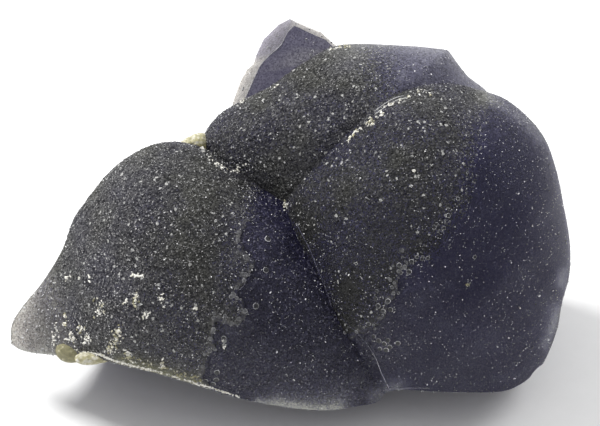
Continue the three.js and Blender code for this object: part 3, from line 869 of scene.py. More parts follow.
# The layers over the violet skin: painted sparkle, painted violet glow, haze with painted light, frosted
# grains with painted light and shade, painted glow of the clear tail and bevels, painted glow of the edges, a
# painted dark line along the outline, and the growth bands of broken faces.
for cover, colour, passing in (
    (sparkle, linear("#a9a6c8"), 0.78),
    (share["glow"], linear("#5652a8"), 0.92),
    (share["haze"], haze_and_light_grains, 0.62),
    (frosted, frost_skin, 0.5),
    (share["thin"], thin_glow_grains, 0.8),
    (edge_glow_grains, linear("#d9dad2"), 0.4),
    (share["rim"], linear("#3f3d33"), 0.45),
    (share["broken"], banded, 0.72),
):
    skin = node(tree, "ShaderNodeMix", {0: cover, 6: skin, 7: colour}, data_type="RGBA").outputs[2]
    clear = node(tree, "ShaderNodeMix", {0: cover, 2: clear, 3: passing}).outputs[0]
rough = node(tree, "ShaderNodeMapRange", {"Value": share["broken"], "To Min": 0.5, "To Max": 0.3}).outputs[0]
finished(tree, skin, clear, rough, ior=1.434, gloss=0.45, absorbed=linear("#a8a6b1"), density=600.0,
         height=fine[3])

stone.data.materials.clear()
stone.data.materials.append(fluorite)
stone.data.polygons.foreach_set("use_smooth", [True] * len(stone.data.polygons))
stone.data.set_sharp_from_angle(angle=SHARP_ANGLE)
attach(stone, "root")
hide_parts("fluorite")


# The quartz crusts. Sugary crusts of quartz grew over the left, the right and the top lump. Two of them
# end in a low ledge of rounded lobes, and the top one fades out. They follow the lumps below, half a
# millimetre proud of them, and dive into them where they thin out.
CRUST_THICKNESS = 0.55
LEDGE_THICKNESS = 0.3
LEDGE_SLOPE = 3.5
CRUST_PROUD = 0.12
CRUST_SUNK = 0.35
CRUST_UNDER = 0.15
CRUST_END = 0.12
CRUST_DEPTHS = (-40, 7)
CRUST_STEP = 0.22
LOBE = 1.35
LOBE_WIDTHS = (0.55, 1.25)
LOBE_HEIGHTS = (0.75, 1.15)
LEDGE_GLOW_WIDTH = 0.36
STAINED_EDGE = [(-29.0, -24.2), (-24.2, -25.3), (-18.4, -27.0), (-14.5, -28.2)]
STAIN_REACH = 0.8


def scalloped(ledge, seed):
    """A ledge drawn as a row of round lobes of uneven size, out to the right of the way down it."""
    chance = np.random.default_rng(seed)
    line = smooth_line(ledge, False, 40)
    run = np.concatenate([[0], np.cumsum(np.linalg.norm(np.diff(line, axis=0), axis=1))])
    stops = [0.0]
    while stops[-1] < run[-1] - LOBE:
        stops.append(stops[-1] + LOBE * chance.uniform(*LOBE_WIDTHS))
    stops[-1] = run[-1]
    spots = np.stack([np.interp(stops, run, line[:, i]) for i in (0, 1)], axis=1)
    made = []
    for a, b in zip(spots[:-1], spots[1:]):
        half = (b - a) / 2
        out = np.array([-half[1], half[0]]) * chance.uniform(*LOBE_HEIGHTS)
        for along in (-1, -0.9, -0.65, -0.35, 0, 0.35, 0.65, 0.9):
            made.append((a + b) / 2 + along * half + math.sqrt(1 - along * along) * out)
    return made


sunk = joined_lumps("sunk", -CRUST_SUNK)
for face in sunk.data.polygons:
    face.material_index = SUNK


def thinning(share, ledge=None):
    """How much nearer and how much further out a crust lies, where it thins out to a share of 0."""
    def grown(q):
        place = q[:, [0, 2]]
        held = share(place)
        thick = CRUST_THICKNESS
        if ledge is not None:
            thick = LEDGE_THICKNESS + (CRUST_THICKNESS - LEDGE_THICKNESS) * smoothstep(
                distance_to(place, ledge), 0, LEDGE_SLOPE)
        dive = 2 * CRUST_SUNK * (1 - smoothstep(held, 0, CRUST_END))
        return thick * held, CRUST_PROUD - (1 - held) * (CRUST_PROUD + CRUST_UNDER) - dive
    return grown


GRAIN_WIDTH = 0.36
GRAIN_TILT = 0.2
GRAIN_LIFT = 0.025


def grainy(points, normals, share, seed):
    """Points of a crust pushed in and out as facets of grains, each with its own tilt and lift."""
    chance = np.random.default_rng(seed)
    span = GRAIN_WIDTH * MM
    spots = np.unique(np.round(points / span).astype(int), axis=0) * span
    spots = spots + chance.uniform(-0.4, 0.4, spots.shape) * span
    tree = KDTree(len(spots))
    for i, middle in enumerate(spots):
        tree.insert(middle, i)
    tree.balance()
    nearest = np.array([tree.find(p)[1] for p in points])
    tilt = chance.normal(0, GRAIN_TILT, spots.shape)[nearest]
    lift = chance.normal(0, GRAIN_LIFT * MM, len(spots))[nearest]
    away = ((points - spots[nearest]) * tilt).sum(axis=1) + lift
    return points + (share * away)[:, None] * normals


def crust(name, form, surface, thickness, outline, soft_above, seed):
    """The outer part of a slightly fuller lump, inside an outline, down to the sunk lumps."""
    made = lump(form, surface, crust=thickness)
    made.name = name
    if outline:
        rings = [ring(outline[::-1], depth) for depth in CRUST_DEPTHS]
        combine(made, slab(rings, "prism", surface), "INTERSECT")
    deep = sunk.copy()
    deep.data = sunk.data.copy()
    bpy.context.scene.collection.objects.link(deep)
    combine(made, deep, "DIFFERENCE")
    broken_and_cut(made)
    combine(made, below_base(), "DIFFERENCE")
    step = made.modifiers.new("even", "REMESH")
    step.mode = "VOXEL"
    step.voxel_size = CRUST_STEP * MM
    step = made.modifiers.new("rounded", "SMOOTH")
    step.factor = 0.5
    step.iterations = 2
    apply_modifiers(made)
    mesh = made.data
    rounded = points_of(mesh)
    place = seen(rounded)
    kind = np.full(len(rounded), surface)
    from_ledge = np.full(len(rounded), np.inf)
    if outline:
        rim = KDTree(len(outline))
        for i, (x, z) in enumerate(outline):
            rim.insert((x, z, 0), i)
        rim.balance()
        from_ledge = np.array([rim.find((x, z, 0))[2] for x, z in place])
    share = smoothstep(from_ledge, 0.3, 1.5) * crusted(place, kind)
    points = grainy(rounded, normals_of(mesh), share, seed)
    points[:, 2] = np.maximum(points[:, 2], 0)
    set_points(mesh, points)
    set_mask(mesh, "druse", crusted(place, kind), "POINT")
    # Painted shade at the crust's foot, and painted light higher up.
    set_mask(mesh, "frost_and_light", by_lump(place, kind, FROST_AND_LIGHT, FROST_AND_LIGHT_ELSEWHERE), "POINT")
    set_mask(mesh, "edge", np.exp(-distance_to(place, STAINED_EDGE) / STAIN_REACH), "POINT")
    steep = 1 - softness(place, soft_above)
    # A pale band painted along the ledge for the light through its thin lip.
    set_mask(mesh, "ledge", steep * np.exp(-(from_ledge / LEDGE_GLOW_WIDTH) ** 2), "POINT")
    return made


left_outline = scalloped(LEFT_LEDGE, 5) + [np.array(p) for p in LEFT_BEYOND]
right_outline = scalloped(RIGHT_LEDGE, 6) + [np.array(p) for p in RIGHT_BEYOND]


def left_held(place):
    return smoothstep(along_tail(place), *TAIL_HELD) * held_at(place, left_ledge, LEFT_SOFT_ABOVE)


def right_held(place):
    return held_at(place, right_ledge, RIGHT_SOFT_ABOVE)


def top_held(place):
    return 1 - smoothstep(along_top(place), *TOP_HELD)


left_thickness = thinning(left_held, left_ledge)
right_thickness = thinning(right_held, right_ledge)
crusts = [
    crust("left_crust", LEFT_LUMP, LEFT, left_thickness, left_outline, LEFT_SOFT_ABOVE, 5),
    crust("right_crust", RIGHT_LUMP, RIGHT, right_thickness, right_outline, RIGHT_SOFT_ABOVE, 6),
    crust("top_crust", TOP_LUMP, TOP, thinning(top_held), None, -99, 7),
]
bpy.data.objects.remove(sunk)

# Drusy quartz: grains of clear quartz packed so tightly that they look frosted and grey over the dark stone,
# and sparkle with painted glints. Its lip has a pale band painted on it for the light that shines through the
# thin ledge, and its edge by the broken rim is stained olive.
drusy_quartz = material("drusy_quartz")
tree = drusy_quartz.node_tree
spot = in_mm(tree)
share = {name: node(tree, "ShaderNodeAttribute", attribute_name=name).outputs["Fac"]
         for name in ("ledge", "edge")}
fine = grains(tree, spot, FINE_GRAIN)
frosted, frost_skin = frosting(tree, spot, fine)
# The pale band along the ledge, in patches, is painted glow.
patches = node(tree, "ShaderNodeTexNoise", {"Vector": spot, "Scale": 0.7, "Detail": 1.0}).outputs["Fac"]
patches = node(tree, "ShaderNodeMapRange", {
    "Value": patches, "From Min": 0.38, "From Max": 0.6, "To Max": 0.8}).outputs[0]
lip = node(tree, "ShaderNodeMath", {0: share["ledge"], 1: patches}, operation="MULTIPLY").outputs[0]
skin = violet_grains(tree, fine)
for cover, colour in ((frosted, frost_skin), (share["edge"], linear("#a3a283")), (lip, linear("#a9a7a4"))):
    skin = node(tree, "ShaderNodeMix", {0: cover, 6: skin, 7: colour}, data_type="RGBA").outputs[2]
clear = node(tree, "ShaderNodeMapRange", {"Value": frosted, "To Min": 0.93, "To Max": 0.5}).outputs[0]
finished(tree, skin, clear, rough=0.52, ior=1.544, gloss=0.3, absorbed=linear("#efefec"), density=1200.0,
         height=fine[3])
for made in crusts:
    made.data.materials.clear()
    made.data.materials.append(drusy_quartz)
    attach(made, "root")
    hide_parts("fluorite")


# The quartz points and grains. Between the grains of the crusts stand larger crystals, six-sided and
# pointed at both ends, 0.2 to 0.5 mm long, and countless sparkling ones of 0.12 to 0.26 mm. They are clear
# to milky, half sunk in the crust, and catch the light. A few sit on the bare stone and on the tail.
#
# On crust, bare stone and tail each kind has so many to a square millimetre, more or fewer by lump.
POINTS = {
    "quartz_points": {"half_length": (0.09, 0.27), "slender": 0.5, "shaft": 0.35, "on_crust": 0.75,
                      "on_bare": 0.03, "on_tail": 2.2, "sides": 6, "seed": 21},
    "quartz_grains": {"half_length": (0.06, 0.13), "slender": 0.8, "shaft": 0, "on_crust": 2.3,
                      "on_bare": 0.6, "on_tail": 3.5, "sides": 4, "seed": 22},
}
CRUST_SHARES = {
    LEFT: (0.35, ("x", -40, -26, 0.4), ("z", -4, 6, -0.27)),
    RIGHT: (0.3, ("z", -12, 6, 0.75)),
    TOP: (1.0, ("x", -2, 8, -0.45)),
}
BARE_SHARES = {LEFT: (1.7,), RIGHT: (0.15,), TOP: (1,)}
LEAST_HEIGHT = 0.4 * MM
STREWN_WITHIN = 0.25 * MM
SEEN_FROM = 2 * MM
STANDS_OUT = 0.3
LEAN = 0.7
EYE = Vector(to_world([0, -VIEW_DISTANCE, 0]))

bpy.context.view_layer.update()
graph = bpy.context.evaluated_depsgraph_get()
grown = [BVHTree.FromObject(piece, graph) for piece in (stone, *crusts)]


def seat(aim, sight):
    """Where a line of sight first meets the stone or a crust."""
    hits = [surface.ray_cast(aim, sight) for surface in grown]
    return min((hit for hit in hits if hit[0]), key=lambda hit: hit[3], default=hits[0])[0]


def seats_seen(places):
    """Which places of the growth face show stone, the points seen there, and the ways out of the body."""
    points = [seat(EYE, (Vector(to_world([x, 0, z])) - EYE).normalized()) for x, z in places]
    kept = [i for i, point in enumerate(points) if point]
    ways = [grown[0].find_nearest(points[i])[1] for i in kept]
    return kept, np.array([points[i] for i in kept]), np.array(ways)


def axes_along(ways, chance):
    """Three axes for each way, the last one along it, turned about it at random."""
    least = np.eye(3)[np.abs(ways).argmin(axis=1)]
    across = np.cross(ways, least)
    across /= np.linalg.norm(across, axis=1, keepdims=True)
    over = np.cross(ways, across)
    turn = chance.uniform(0, 2 * math.pi, (len(ways), 1))
    return np.stack([across * np.cos(turn) + over * np.sin(turn),
                     over * np.cos(turn) - across * np.sin(turn), ways], axis=1)


def scattered(name, forms, faces, seats, axes, sizes, masks):
    """One mesh of many small closed forms, each at its seat, along its axes and in its own size."""
    points = np.einsum("nkj,njc->nkc", forms * sizes[:, None] * MM, axes) + seats[:, None]
    count, corners = points.shape[:2]
    every = (faces[None] + corners * np.arange(count)[:, None, None]).reshape(-1, faces.shape[1])
    mesh = bpy.data.meshes.new(name)
    mesh.from_pydata(points.reshape(-1, 3).tolist(), [], every.tolist())
    for mask, values in masks.items():
        set_mask(mesh, mask, np.broadcast_to(values, (count, corners)).ravel(), "POINT")
    return object_from(mesh, name)


def dressed(piece, finish, smooth):
    """Gives a piece its material, its shading and its place in the model."""
    piece.data.materials.append(finish)
    piece.data.polygons.foreach_set("use_smooth", [smooth] * len(piece.data.polygons))
    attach(piece, "root")
    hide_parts("fluorite")


def faces_of(mesh):
    """The middle, the way out and the area of each face."""
    made = []
    for name, count in (("center", 3), ("normal", 3), ("area", 1)):
        flat = np.empty(count * len(mesh.polygons))
        mesh.polygons.foreach_get(name, flat)
        made.append(flat.reshape(-1, count))
    return made


middles, outward, areas = faces_of(stone.data)
kind = kinds_of(stone.data)
place = seen(middles)
druse = crusted(place, kind)
tail = tail_share(place) * (kind == LEFT)
crust_share = by_lump(place, kind, CRUST_SHARES)
bare_share = by_lump(place, kind, BARE_SHARES)


def crystal(sides, shaft):
    """A crystal pointed at both ends, of half-length 1, and its triangles. It may have no shaft."""
    turn = np.arange(sides) * 2 * math.pi / sides
    upper = np.stack([np.cos(turn), np.sin(turn), np.full(sides, shaft)], axis=1)
    if not shaft:
        faces = [(i, (i + 1) % sides, sides) for i in range(sides)]
        faces += [((i + 1) % sides, i, sides + 1) for i in range(sides)]
        return np.vstack([upper, [(0, 0, 1), (0, 0, -1)]]), np.array(faces)
    top, foot = 2 * sides, 2 * sides + 1
    faces = [(i, (i + 1) % sides, top) for i in range(sides)]
    faces += [(sides + (i + 1) % sides, sides + i, foot) for i in range(sides)]
    faces += [(sides + i, sides + (i + 1) % sides, (i + 1) % sides) for i in range(sides)]
    faces += [(sides + i, (i + 1) % sides, i) for i in range(sides)]
    return np.vstack([upper, upper * (1, 1, -1), [(0, 0, 1), (0, 0, -1)]]), np.array(faces)


def grown_over(name, half_length, slender, shaft, on_crust, on_bare, on_tail, sides, seed):
    """Crystals strewn over the lumps, seated where they first meet the stone or a crust."""
    chance = np.random.default_rng(seed)
    density = on_crust * druse * crust_share + on_bare * bare_share + on_tail * tail
    chosen = np.repeat(np.arange(len(density)), chance.poisson(density * areas[:, 0] / MM**2))
    jitter = chance.uniform(-STREWN_WITHIN, STREWN_WITHIN, (len(chosen), 3))
    above = middles[chosen] + jitter + SEEN_FROM * outward[chosen]
    met = [seat(Vector(a), -Vector(way)) for a, way in zip(above, outward[chosen])]
    found = [i for i, point in enumerate(met) if point and point.z > LEAST_HEIGHT]
    out = outward[chosen[found]]
    length = half_length[0] + (half_length[1] - half_length[0]) * chance.beta(1.1, 2.2, len(found))
    seats = np.array([met[i] for i in found]) + STANDS_OUT * MM * length[:, None] * out
    ways = out + chance.normal(0, LEAN, out.shape)
    ways /= np.linalg.norm(ways, axis=1, keepdims=True)
    sizes = np.stack([slender * length, slender * length, length], axis=1)
    form, faces = crystal(sides, shaft)
    shades = chance.beta(1.3, 0.9, (len(found), 1))
    return scattered(name, form[None], faces, seats, axes_along(ways, chance), sizes, {"shade": shades})


grown_pieces = [grown_over(name, **values) for name, values in POINTS.items()]

# Quartz that is clear where it is thin and milky in the larger crystals, with a glassy surface.
milky_quartz = material("milky_quartz")
tree = milky_quartz.node_tree
spot = in_mm(tree)
shade = node(tree, "ShaderNodeAttribute", attribute_name="shade").outputs["Fac"]
veils = node(tree, "ShaderNodeTexNoise", {"Vector": spot, "Scale": 3.0, "Detail": 2.0}).outputs["Fac"]
veiled = node(tree, "ShaderNodeMath", {0: veils, 1: 0.5, 2: shade}, operation="MULTIPLY_ADD").outputs[0]
milk = node(tree, "ShaderNodeMapRange", {"Value": veiled, "From Min": 0.25, "From Max": 1.25}).outputs[0]
skin = node(tree, "ShaderNodeMix", {0: milk, 6: linear("#595962"), 7: linear("#ffffff")},
            data_type="RGBA").outputs[2]
clear = node(tree, "ShaderNodeMapRange", {"Value": milk, "To Min": 0.85, "To Max": 0.05}).outputs[0]
finished(tree, skin, clear, rough=0.35, ior=1.544, gloss=0.5, absorbed=linear("#f7f7f6"), density=600.0,
         height=veils)
for piece in grown_pieces:
    dressed(piece, milky_quartz, False)


# The ledges' beads and the drops. Rounded beads of quartz line both ledges, some of them run together, and
# low drops with a clear, dark middle sit on the ledges and beyond them. The beads and the drops have a paler
# rim painted on them as the reflection at the edge of rounded quartz, thin on the drops. Each is given by its
# place and its radius.
BEADS = [
    (-9.8, -3.2, 0.4), (-10.0, -4.4, 0.35), (-8.7, -7.1, 0.45), (-8.7, -9.9, 0.35), (-11.1, -13.5, 0.35),
    (-10.8, -13.0, 0.3), (-12.1, -16.6, 0.3), (-12.2, -20.7, 0.35), (-12.3, -21.4, 0.3), (-8.9, -15.8, 0.4),
    (16.9, -8.7, 0.35), (15.9, -9.4, 0.3), (16.4, -6.0, 0.4), (14.8, -12.0, 0.3),
]
BEAD_ROWS = [
    {"ledge": LEFT_LEDGE[4:], "spacing": (0.4, 1.8), "spread": 0.3, "radius": (0.16, 0.38)},
    {"ledge": RIGHT_LEDGE[6:], "spacing": (0.4, 1.6), "spread": 0.35, "radius": (0.14, 0.32)},
    {"ledge": RIGHT_LEDGE[:11], "spacing": (0.15, 0.5), "spread": 1.3, "radius": (0.07, 0.2)},
    {"ledge": [(12.6, -20.2), (14.6, -21.8)], "spacing": (0.15, 0.5), "spread": 0.5, "radius": (0.07, 0.16)},
    {"ledge": [(26.4, -11.6), (27.8, -11.2)], "spacing": (0.2, 0.5), "spread": 0.4, "radius": (0.08, 0.2)},
]
DROPS = [
    (-5.2, -4.2, 0.48), (-7.1, -15.0, 0.48), (-5.5, -9.2, 0.45), (-12.3, -20.2, 0.4), (-13.4, -25.7, 0.45),
    (-13.5, -26.9, 0.45), (-15.2, -27.1, 0.4), (-14.0, -27.6, 0.4), (12.7, -20.6, 0.42), (13.6, -21.1, 0.4),
    (14.2, -20.5, 0.35), (13.9, -22.1, 0.42), (14.5, -21.6, 0.38), (15.8, -21.0, 0.4), (28.2, -7.1, 0.32),
    (16.1, -9.6, 0.4), (17.6, -9.5, 0.4), (12.6, -15.0, 0.4), (14.6, -15.6, 0.4), (-15.6, -2.9, 0.4),
    (18.9, -7.1, 0.3), (19.7, -7.4, 0.3), (20.6, -7.3, 0.32), (16.0, -8.4, 0.38), (18.0, -7.8, 0.34),
    (12.2, -13.8, 0.34), (14.2, -14.2, 0.4), (13.4, -15.8, 0.34), (11.9, -19.9, 0.34), (22.0, -1.8, 0.3),
    (21.6, -2.3, 0.35), (23.2, -2.4, 0.3), (23.9, -0.4, 0.34), (25.5, 2.3, 0.3), (11.1, -17.9, 0.35),
    (12.9, -21.9, 0.35), (12.4, -12.6, 0.3),
]
FLATNESS = 0.42
REFLECTED_RIM = (0.8, 0.97)
BEAD_SHADES = (0.2, 0.55)
DROP_SHADES = (-0.2, 0.95)


def beads_along(ledge, spacing, spread, radius, chance):
    """Beads at uneven spacing along a ledge, a little to either side of it."""
    line = smooth_line(ledge, False, 40)
    run = np.concatenate([[0], np.cumsum(np.linalg.norm(np.diff(line, axis=0), axis=1))])
    made = []
    along = chance.uniform(*spacing)
    while along < run[-1]:
        middle = [np.interp(along, run, line[:, i]) for i in (0, 1)]
        made.append((*(middle + chance.normal(0, spread, 2)), chance.uniform(*radius)))
        along += chance.uniform(*spacing)
    return made


def rounds(name, spots, divisions, rim, chance):
    """Low round domes of quartz seated where they are seen, with a shade for their middle and one for their
    rim; the paler rim is a painted reflection.
    """
    spots = np.array(spots)
    mesh = ball(divisions)
    form = points_of(mesh)
    faces = np.array([face.vertices[:] for face in mesh.polygons])
    kept, seats, ways = seats_seen(spots[:, :2])
    sizes = spots[kept, 2:] * (1, 1, FLATNESS)
    from_middle = np.hypot(form[:, 0], form[:, 1])
    # The paler rim is a painted reflection.
    shade = rim[0] + (rim[1] - rim[0]) * smoothstep(from_middle, *REFLECTED_RIM)
    shades = chance.uniform(0.7, 1.1, (len(kept), 1)) * shade
    return scattered(name, form[None], faces, seats, axes_along(ways, chance), sizes, {"shade": shades})


chance = np.random.default_rng(33)
ledge_beads = list(BEADS)
for row in BEAD_ROWS:
    ledge_beads += beads_along(**row, chance=chance)
dressed(rounds("ledge_beads", ledge_beads, 3, BEAD_SHADES, chance), milky_quartz, True)
dressed(rounds("drops", DROPS, 4, DROP_SHADES, chance), milky_quartz, True)


# The lips. The fluorite's own edges stand up as thin pale lips along the valley between the left and the
# right lump, a plate between the right and the top lump, a lobe of the left ledge, the right lump's foot and
# the splinter's ridge. Each is given by its route, its radius and how hazy and pale it is; the pale is
# painted glow of light through the thin edge.
LIPS = {
    "valley": {"route": [(-0.6, -1.5), (0.3, -3.4), (1.6, -5.8), (2.7, -8.6), (3.8, -11.2), (5.1, -15.2)],
               "radius": 0.1, "haze": 0.5},
    "valley_foot": {"route": [(6.4, -16.6), (8.0, -18.2), (9.7, -19.8), (12.0, -23.0), (13.3, -26.2),
                              (14.4, -28.4)], "radius": 0.08, "haze": 0.1},
    "plate_near": {"route": [(11.9, 15.7), (13.1, 16.6), (14.4, 17.5), (15.8, 18.2), (17.6, 18.6)],
                   "radius": 0.12, "haze": 1, "edge": 0.7},
    "plate_far": {"route": [(11.9, 16.2), (13.0, 17.1), (14.3, 18.0), (15.6, 18.6), (16.9, 18.9)],
                  "radius": 0.11, "haze": 1, "edge": 0.6},
    "splinter_ridge": {"route": [(-0.9, 30.2), (-2.2, 28.8), (-3.0, 27.1), (-4.3, 25.9), (-5.8, 24.5),
                                 (-6.5, 23.5), (-7.1, 22.3), (-8.7, 18.7)], "radius": 0.08, "haze": 0.9,
                       "edge": 0.3},
    "ledge_lobe": {"route": [(-8.6, -10.4), (-9.0, -11.6), (-10.1, -12.6)], "radius": 0.1, "haze": 0.8},
    "foot": {"route": [(12.8, -29.0), (14.4, -28.3), (16.9, -28.2), (20.9, -28.2)], "radius": 0.08,
             "haze": 0.7},
}
LIP_STEP = 0.4
LIP_SIDES = 6


def lip(route, radius, haze, edge=0):
    """A thin round rib along what is seen at a route, tapering to nothing at both ends."""
    line = smooth_line(route, False, 24)
    run = np.concatenate([[0], np.cumsum(np.linalg.norm(np.diff(line, axis=0), axis=1))])
    stops = np.linspace(0, run[-1], max(int(run[-1] / LIP_STEP), 4))
    places = np.stack([np.interp(stops, run, line[:, i]) for i in (0, 1)], axis=1)
    kept, middles, ways = seats_seen(places)
    stops = stops[kept]
    evened = np.vstack([middles[:1], middles, middles[-1:]])
    middles = (evened[:-2] + evened[1:-1] + evened[2:]) / 3
    along = np.gradient(middles, axis=0)
    along /= np.linalg.norm(along, axis=1, keepdims=True)
    across = np.cross(along, ways)
    across /= np.linalg.norm(across, axis=1, keepdims=True)
    over = np.cross(across, along)
    taper = np.clip(np.minimum(stops, run[-1] - stops) / (4 * radius), 0.05, 1) ** 0.5
    uneven = 1 + 0.25 * np.sin(2.3 * stops) * np.sin(0.9 * stops + 1)
    turn = np.arange(LIP_SIDES) * 2 * math.pi / LIP_SIDES
    wide = (radius * MM * taper * uneven)[:, None, None]
    out = across[:, None] * np.cos(turn)[:, None] + over[:, None] * np.sin(turn)[:, None]
    points = middles[:, None] + wide * out
    return points.reshape(-1, 3), np.full((len(stops) * LIP_SIDES, 2), (haze, edge))


every_point, every_face, every_shade = [], [], []
for values in LIPS.values():
    points, shades = lip(**values)
    start = sum(len(p) for p in every_point)
    count = len(points)
    for low in range(start, start + count - LIP_SIDES, LIP_SIDES):
        every_face += [(low + i, low + (i + 1) % LIP_SIDES, low + LIP_SIDES + (i + 1) % LIP_SIDES,
                        low + LIP_SIDES + i) for i in range(LIP_SIDES)]
    every_face += [tuple(range(start + LIP_SIDES - 1, start - 1, -1)),
                   tuple(range(start + count - LIP_SIDES, start + count))]
    every_point.append(points)
    every_shade.append(shades)
lips_mesh = bpy.data.meshes.new("lips")
lips_mesh.from_pydata(np.vstack(every_point).tolist(), [], every_face)
for mask, values in zip(("haze", "edge"), np.vstack(every_shade).T):
    set_mask(lips_mesh, mask, values, "POINT")
dressed(object_from(lips_mesh, "lips"), fluorite, True)


# The crumbs of matrix. Cream to olive crumbs of the rock that the stone grew in still cling to it in
# small clusters and along its chipped rims, each crumb 0.1 to 0.8 mm long. A cluster is given by its place,
# its reach across and up, a quarter of the number of its crumbs, and how pale they are.
CLUSTERS = [
    ((-32.3, -15.3), (0.6, 1.1), 8, 0.7), ((-26.5, -14.0), (0.35, 1.0), 8, 0.6),
    ((-28.1, -14.4), (0.3, 0.3), 2, 0.8), ((-22.2, -13.9), (0.4, 0.6), 4, 1.0),
    ((-24.9, -16.6), (0.4, 0.4), 4, 0.9), ((-37.9, -16.5), (0.2, 0.4), 3, 0.5),
    ((-37.9, -17.8), (0.2, 0.4), 3, 0.5), ((-35.3, -18.9), (0.5, 0.6), 5, 0.7),
    ((-34.3, -20.4), (0.5, 0.6), 5, 0.8), ((-36.9, -19.9), (0.3, 0.6), 5, 0.8),
    ((-29.4, -19.2), (0.5, 0.9), 9, 0.5), ((-29.9, -20.9), (0.6, 0.8), 9, 0.4),
    ((-30.6, -22.0), (0.6, 0.5), 5, 0.7), ((-27.8, -22.5), (0.4, 0.6), 6, 0.6),
    ((-22.3, -24.4), (0.2, 0.4), 3, 0.9), ((-37.6, -10.5), (0.3, 0.4), 3, 1.0),
    ((-35.6, -10.5), (0.1, 0.3), 2, 1.0), ((-34.0, -10.4), (0.1, 0.4), 2, 1.0),
    ((-26.1, -10.0), (0.6, 0.2), 4, 1.0), ((-16.8, -15.3), (0.2, 0.2), 2, 1.0),
    ((-2.3, 1.3), (0.3, 0.7), 6, 0.8), ((18.4, 6.8), (0.1, 0.2), 2, 1.0),
    ((27.0, -11.6), (0.5, 0.4), 1, 0.4), ((-39.6, -20.3), (0.4, 0.8), 3, 1.0),
    ((-39.4, -18.6), (0.15, 0.45), 2, 1.0), ((-36.6, -22.1), (1.1, 0.5), 3, 1.1),
    ((-37.2, -20.5), (0.9, 0.3), 3, 0.9), ((-12.3, -20.6), (0.15, 0.2), 3, 1.0),
    ((-12.2, -21.5), (0.15, 0.2), 3, 1.0),
]
CRUMB_SIZE = (0.05, 0.16)
CRUMB_LONG = (1, 2.4)
CRUMB_HIGH = (0.8, 1.2)
CRUMB_ROUGH = 0.4
CRUMBS_MORE = 4
CLUSTER_SPREAD = 0.75
TONE_SPREAD = 0.25
CHIPPED_RIMS = [
    {"line": [(-35.4, -22.7), (-34.2, -22.5), (-32.1, -22.9), (-30.4, -23.6), (-27.2, -24.55),
              (-24.2, -25.25), (-18.4, -26.95), (-15.2, -27.9), (-9.4, -29.8)],
     "chips": 270, "spread": 0.05, "pale": 1.0},
    {"line": [(-29.0, -23.1), (-26.0, -23.9), (-20.0, -25.8), (-15.5, -27.2)], "chips": 60, "spread": 0.35,
     "pale": 0.3},
    {"line": [(-10.3, 17.2), (-8.9, 18.4)], "chips": 8, "spread": 0.08, "pale": 0.9},
    {"line": [(-4.2, 20.2), (-3.4, 20.8)], "chips": 6, "spread": 0.06, "pale": 0.9},
    {"line": [(5.0, 26.5), (8.0, 26.9)], "chips": 22, "spread": 0.12, "pale": 0.5},
    {"line": [(-16.1, 11.0), (-15.4, 10.1), (-14.5, 8.9), (-13.4, 7.9), (-12.6, 7.4), (-10.3, 6.8),
              (-9.2, 7.7)],
     "chips": 60, "spread": 0.2, "pale": 0.95},
    {"line": [(7.7, 11.2), (8.0, 12.2), (8.8, 12.9), (9.9, 13.8)], "chips": 22, "spread": 0.12, "pale": 0.8},
    {"line": [(10.7, 14.2), (11.4, 14.9), (11.7, 14.0)], "chips": 40, "spread": 0.22, "pale": 0.6},
    {"line": [(11.9, 15.2), (13.2, 15.8), (13.0, 16.3)], "chips": 16, "spread": 0.12, "pale": 1.0},
    {"line": [(13.6, 16.9), (15.6, 17.9), (17.6, 18.7)], "chips": 26, "spread": 0.14, "pale": 0.9},
    {"line": [(18.2, 19.2), (19.6, 19.8), (21.3, 19.1)], "chips": 12, "spread": 0.25, "pale": 0.8},
]

chance = np.random.default_rng(47)
places = [at + chance.normal(0, CLUSTER_SPREAD, (CRUMBS_MORE * crumbs, 2)) * reach
          for at, reach, crumbs, _ in CLUSTERS]
pale = [np.full(CRUMBS_MORE * crumbs, share) for _, _, crumbs, share in CLUSTERS]
for rim in CHIPPED_RIMS:
    line = smooth_line(rim["line"], False, 40)
    places.append(chance.choice(line, rim["chips"]) + chance.normal(0, rim["spread"], (rim["chips"], 2)))
    pale.append(np.full(rim["chips"], rim["pale"]))
mesh = ball(2)
form = points_of(mesh)
faces = np.array([face.vertices[:] for face in mesh.polygons])
kept, seats, ways = seats_seen(np.vstack(places))
pale = np.concatenate(pale)[kept]
count = len(kept)
forms = form * (1 + CRUMB_ROUGH * chance.uniform(-1, 1, (count, len(form), 1)))
size = chance.uniform(*CRUMB_SIZE, (count, 1))
longer, higher = [chance.uniform(*limits, count) for limits in (CRUMB_LONG, CRUMB_HIGH)]
sizes = size * np.stack([longer, np.ones(count), higher], axis=1)
tones = np.clip(pale[:, None] + chance.normal(0, TONE_SPREAD, (count, 1)), 0, 1.2)
crumbs = scattered("matrix_crumbs", forms, faces, seats, axes_along(ways, chance), sizes, {"pale": tones})

# Weathered clayey rock: dull and earthy, cream where it is fresh, straw to olive and clearer where it is
# stained. Grains darkened at random are painted shade for the gaps between them.
matrix = material("weathered_matrix")
tree = matrix.node_tree
spot = in_mm(tree)
pale = node(tree, "ShaderNodeAttribute", attribute_name="pale").outputs["Fac"]
patches = node(tree, "ShaderNodeTexNoise", {"Vector": spot, "Scale": 1.4, "Detail": 4.0}).outputs["Fac"]
fine = grains(tree, spot, FINE_GRAIN)
patchy = node(tree, "ShaderNodeMath", {0: patches, 1: 0.9, 2: pale}, operation="MULTIPLY_ADD").outputs[0]
straw = node(tree, "ShaderNodeMapRange", {"Value": patchy, "From Min": 0.3, "From Max": 0.9}).outputs[0]
fresh = node(tree, "ShaderNodeMapRange", {"Value": patchy, "From Min": 0.75, "From Max": 1.2}).outputs[0]
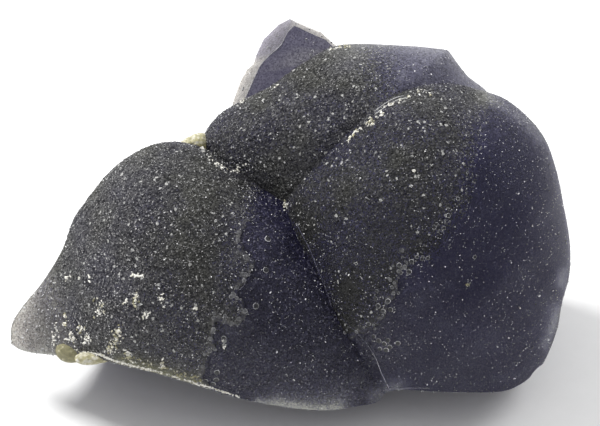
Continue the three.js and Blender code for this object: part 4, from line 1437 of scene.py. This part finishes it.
# Painted shade: random grains darkened for the shaded gaps between them.
gap_shade = node(tree, "ShaderNodeMath", {0: fine[0], 1: 0.22}, operation="MULTIPLY").outputs[0]
skin = linear("#bdb88e")
for cover, colour in ((straw, "#d0c9a0"), (fresh, "#fffdf4"), (gap_shade, "#2c2a20")):
    skin = node(tree, "ShaderNodeMix", {0: cover, 6: skin, 7: linear(colour)}, data_type="RGBA").outputs[2]
clear = node(tree, "ShaderNodeMapRange", {
    "Value": pale, "From Max": 0.7, "To Min": 0.6, "To Max": 0.05}).outputs[0]
finished(tree, skin, clear, rough=0.6, ior=1.5, gloss=0.4, absorbed=linear("#edeacb"), density=300.0,
         height=fine[3])
dressed(crumbs, matrix, False)


# The larger remains of matrix. One fills the notch between the left and the top lump, and two cling under
# the left lump's tail. They are weathered round, and their rock is stained straw to olive.
REMAINS = {
    "notch_matrix": {"middle": (-17.1, 3.3, 11.2), "size": (2.6, 2.8, 1.7), "taper": 0.5, "pale": 0.35,
                     "knobs": 0.04},
    "tail_matrix": {"middle": (-35.7, -4.9, -21.7), "size": (3.0, 1.9, 2.0), "taper": -0.15, "pale": 0.1,
                    "knobs": 0.02},
    "rim_matrix": {"middle": (-32.1, -7.9, -22.8), "size": (3.1, 1.6, 0.9), "taper": -0.5, "pale": 0.4,
                   "knobs": 0.04},
}
KNOBS = 1.3
PATCHINESS = 0.25


def knobbly(p):
    """Low rounded knobs all over, from about -1 to 1, for points in millimetres."""
    a = p * 2 * math.pi / KNOBS
    total = 0
    for octave in range(3):
        b = a * 1.9**octave
        across = np.sin(b[:, 0] + 1.7 * octave) * np.sin(b[:, 1] + 0.6 * b[:, 0])
        total = total + across * np.sin(b[:, 2]) / 1.7**octave
    return total


for name, values in REMAINS.items():
    mesh = ball(5)
    p = points_of(mesh)
    q = p * values["size"]
    q[:, 2] *= 1 + values["taper"] * p[:, 0]
    q = q * (1 + values["knobs"] * knobbly(q)[:, None]) + values["middle"]
    set_points(mesh, to_world(q))
    set_mask(mesh, "pale", values["pale"] + PATCHINESS * knobbly(q), "POINT")
    dressed(object_from(mesh, name), matrix, True)
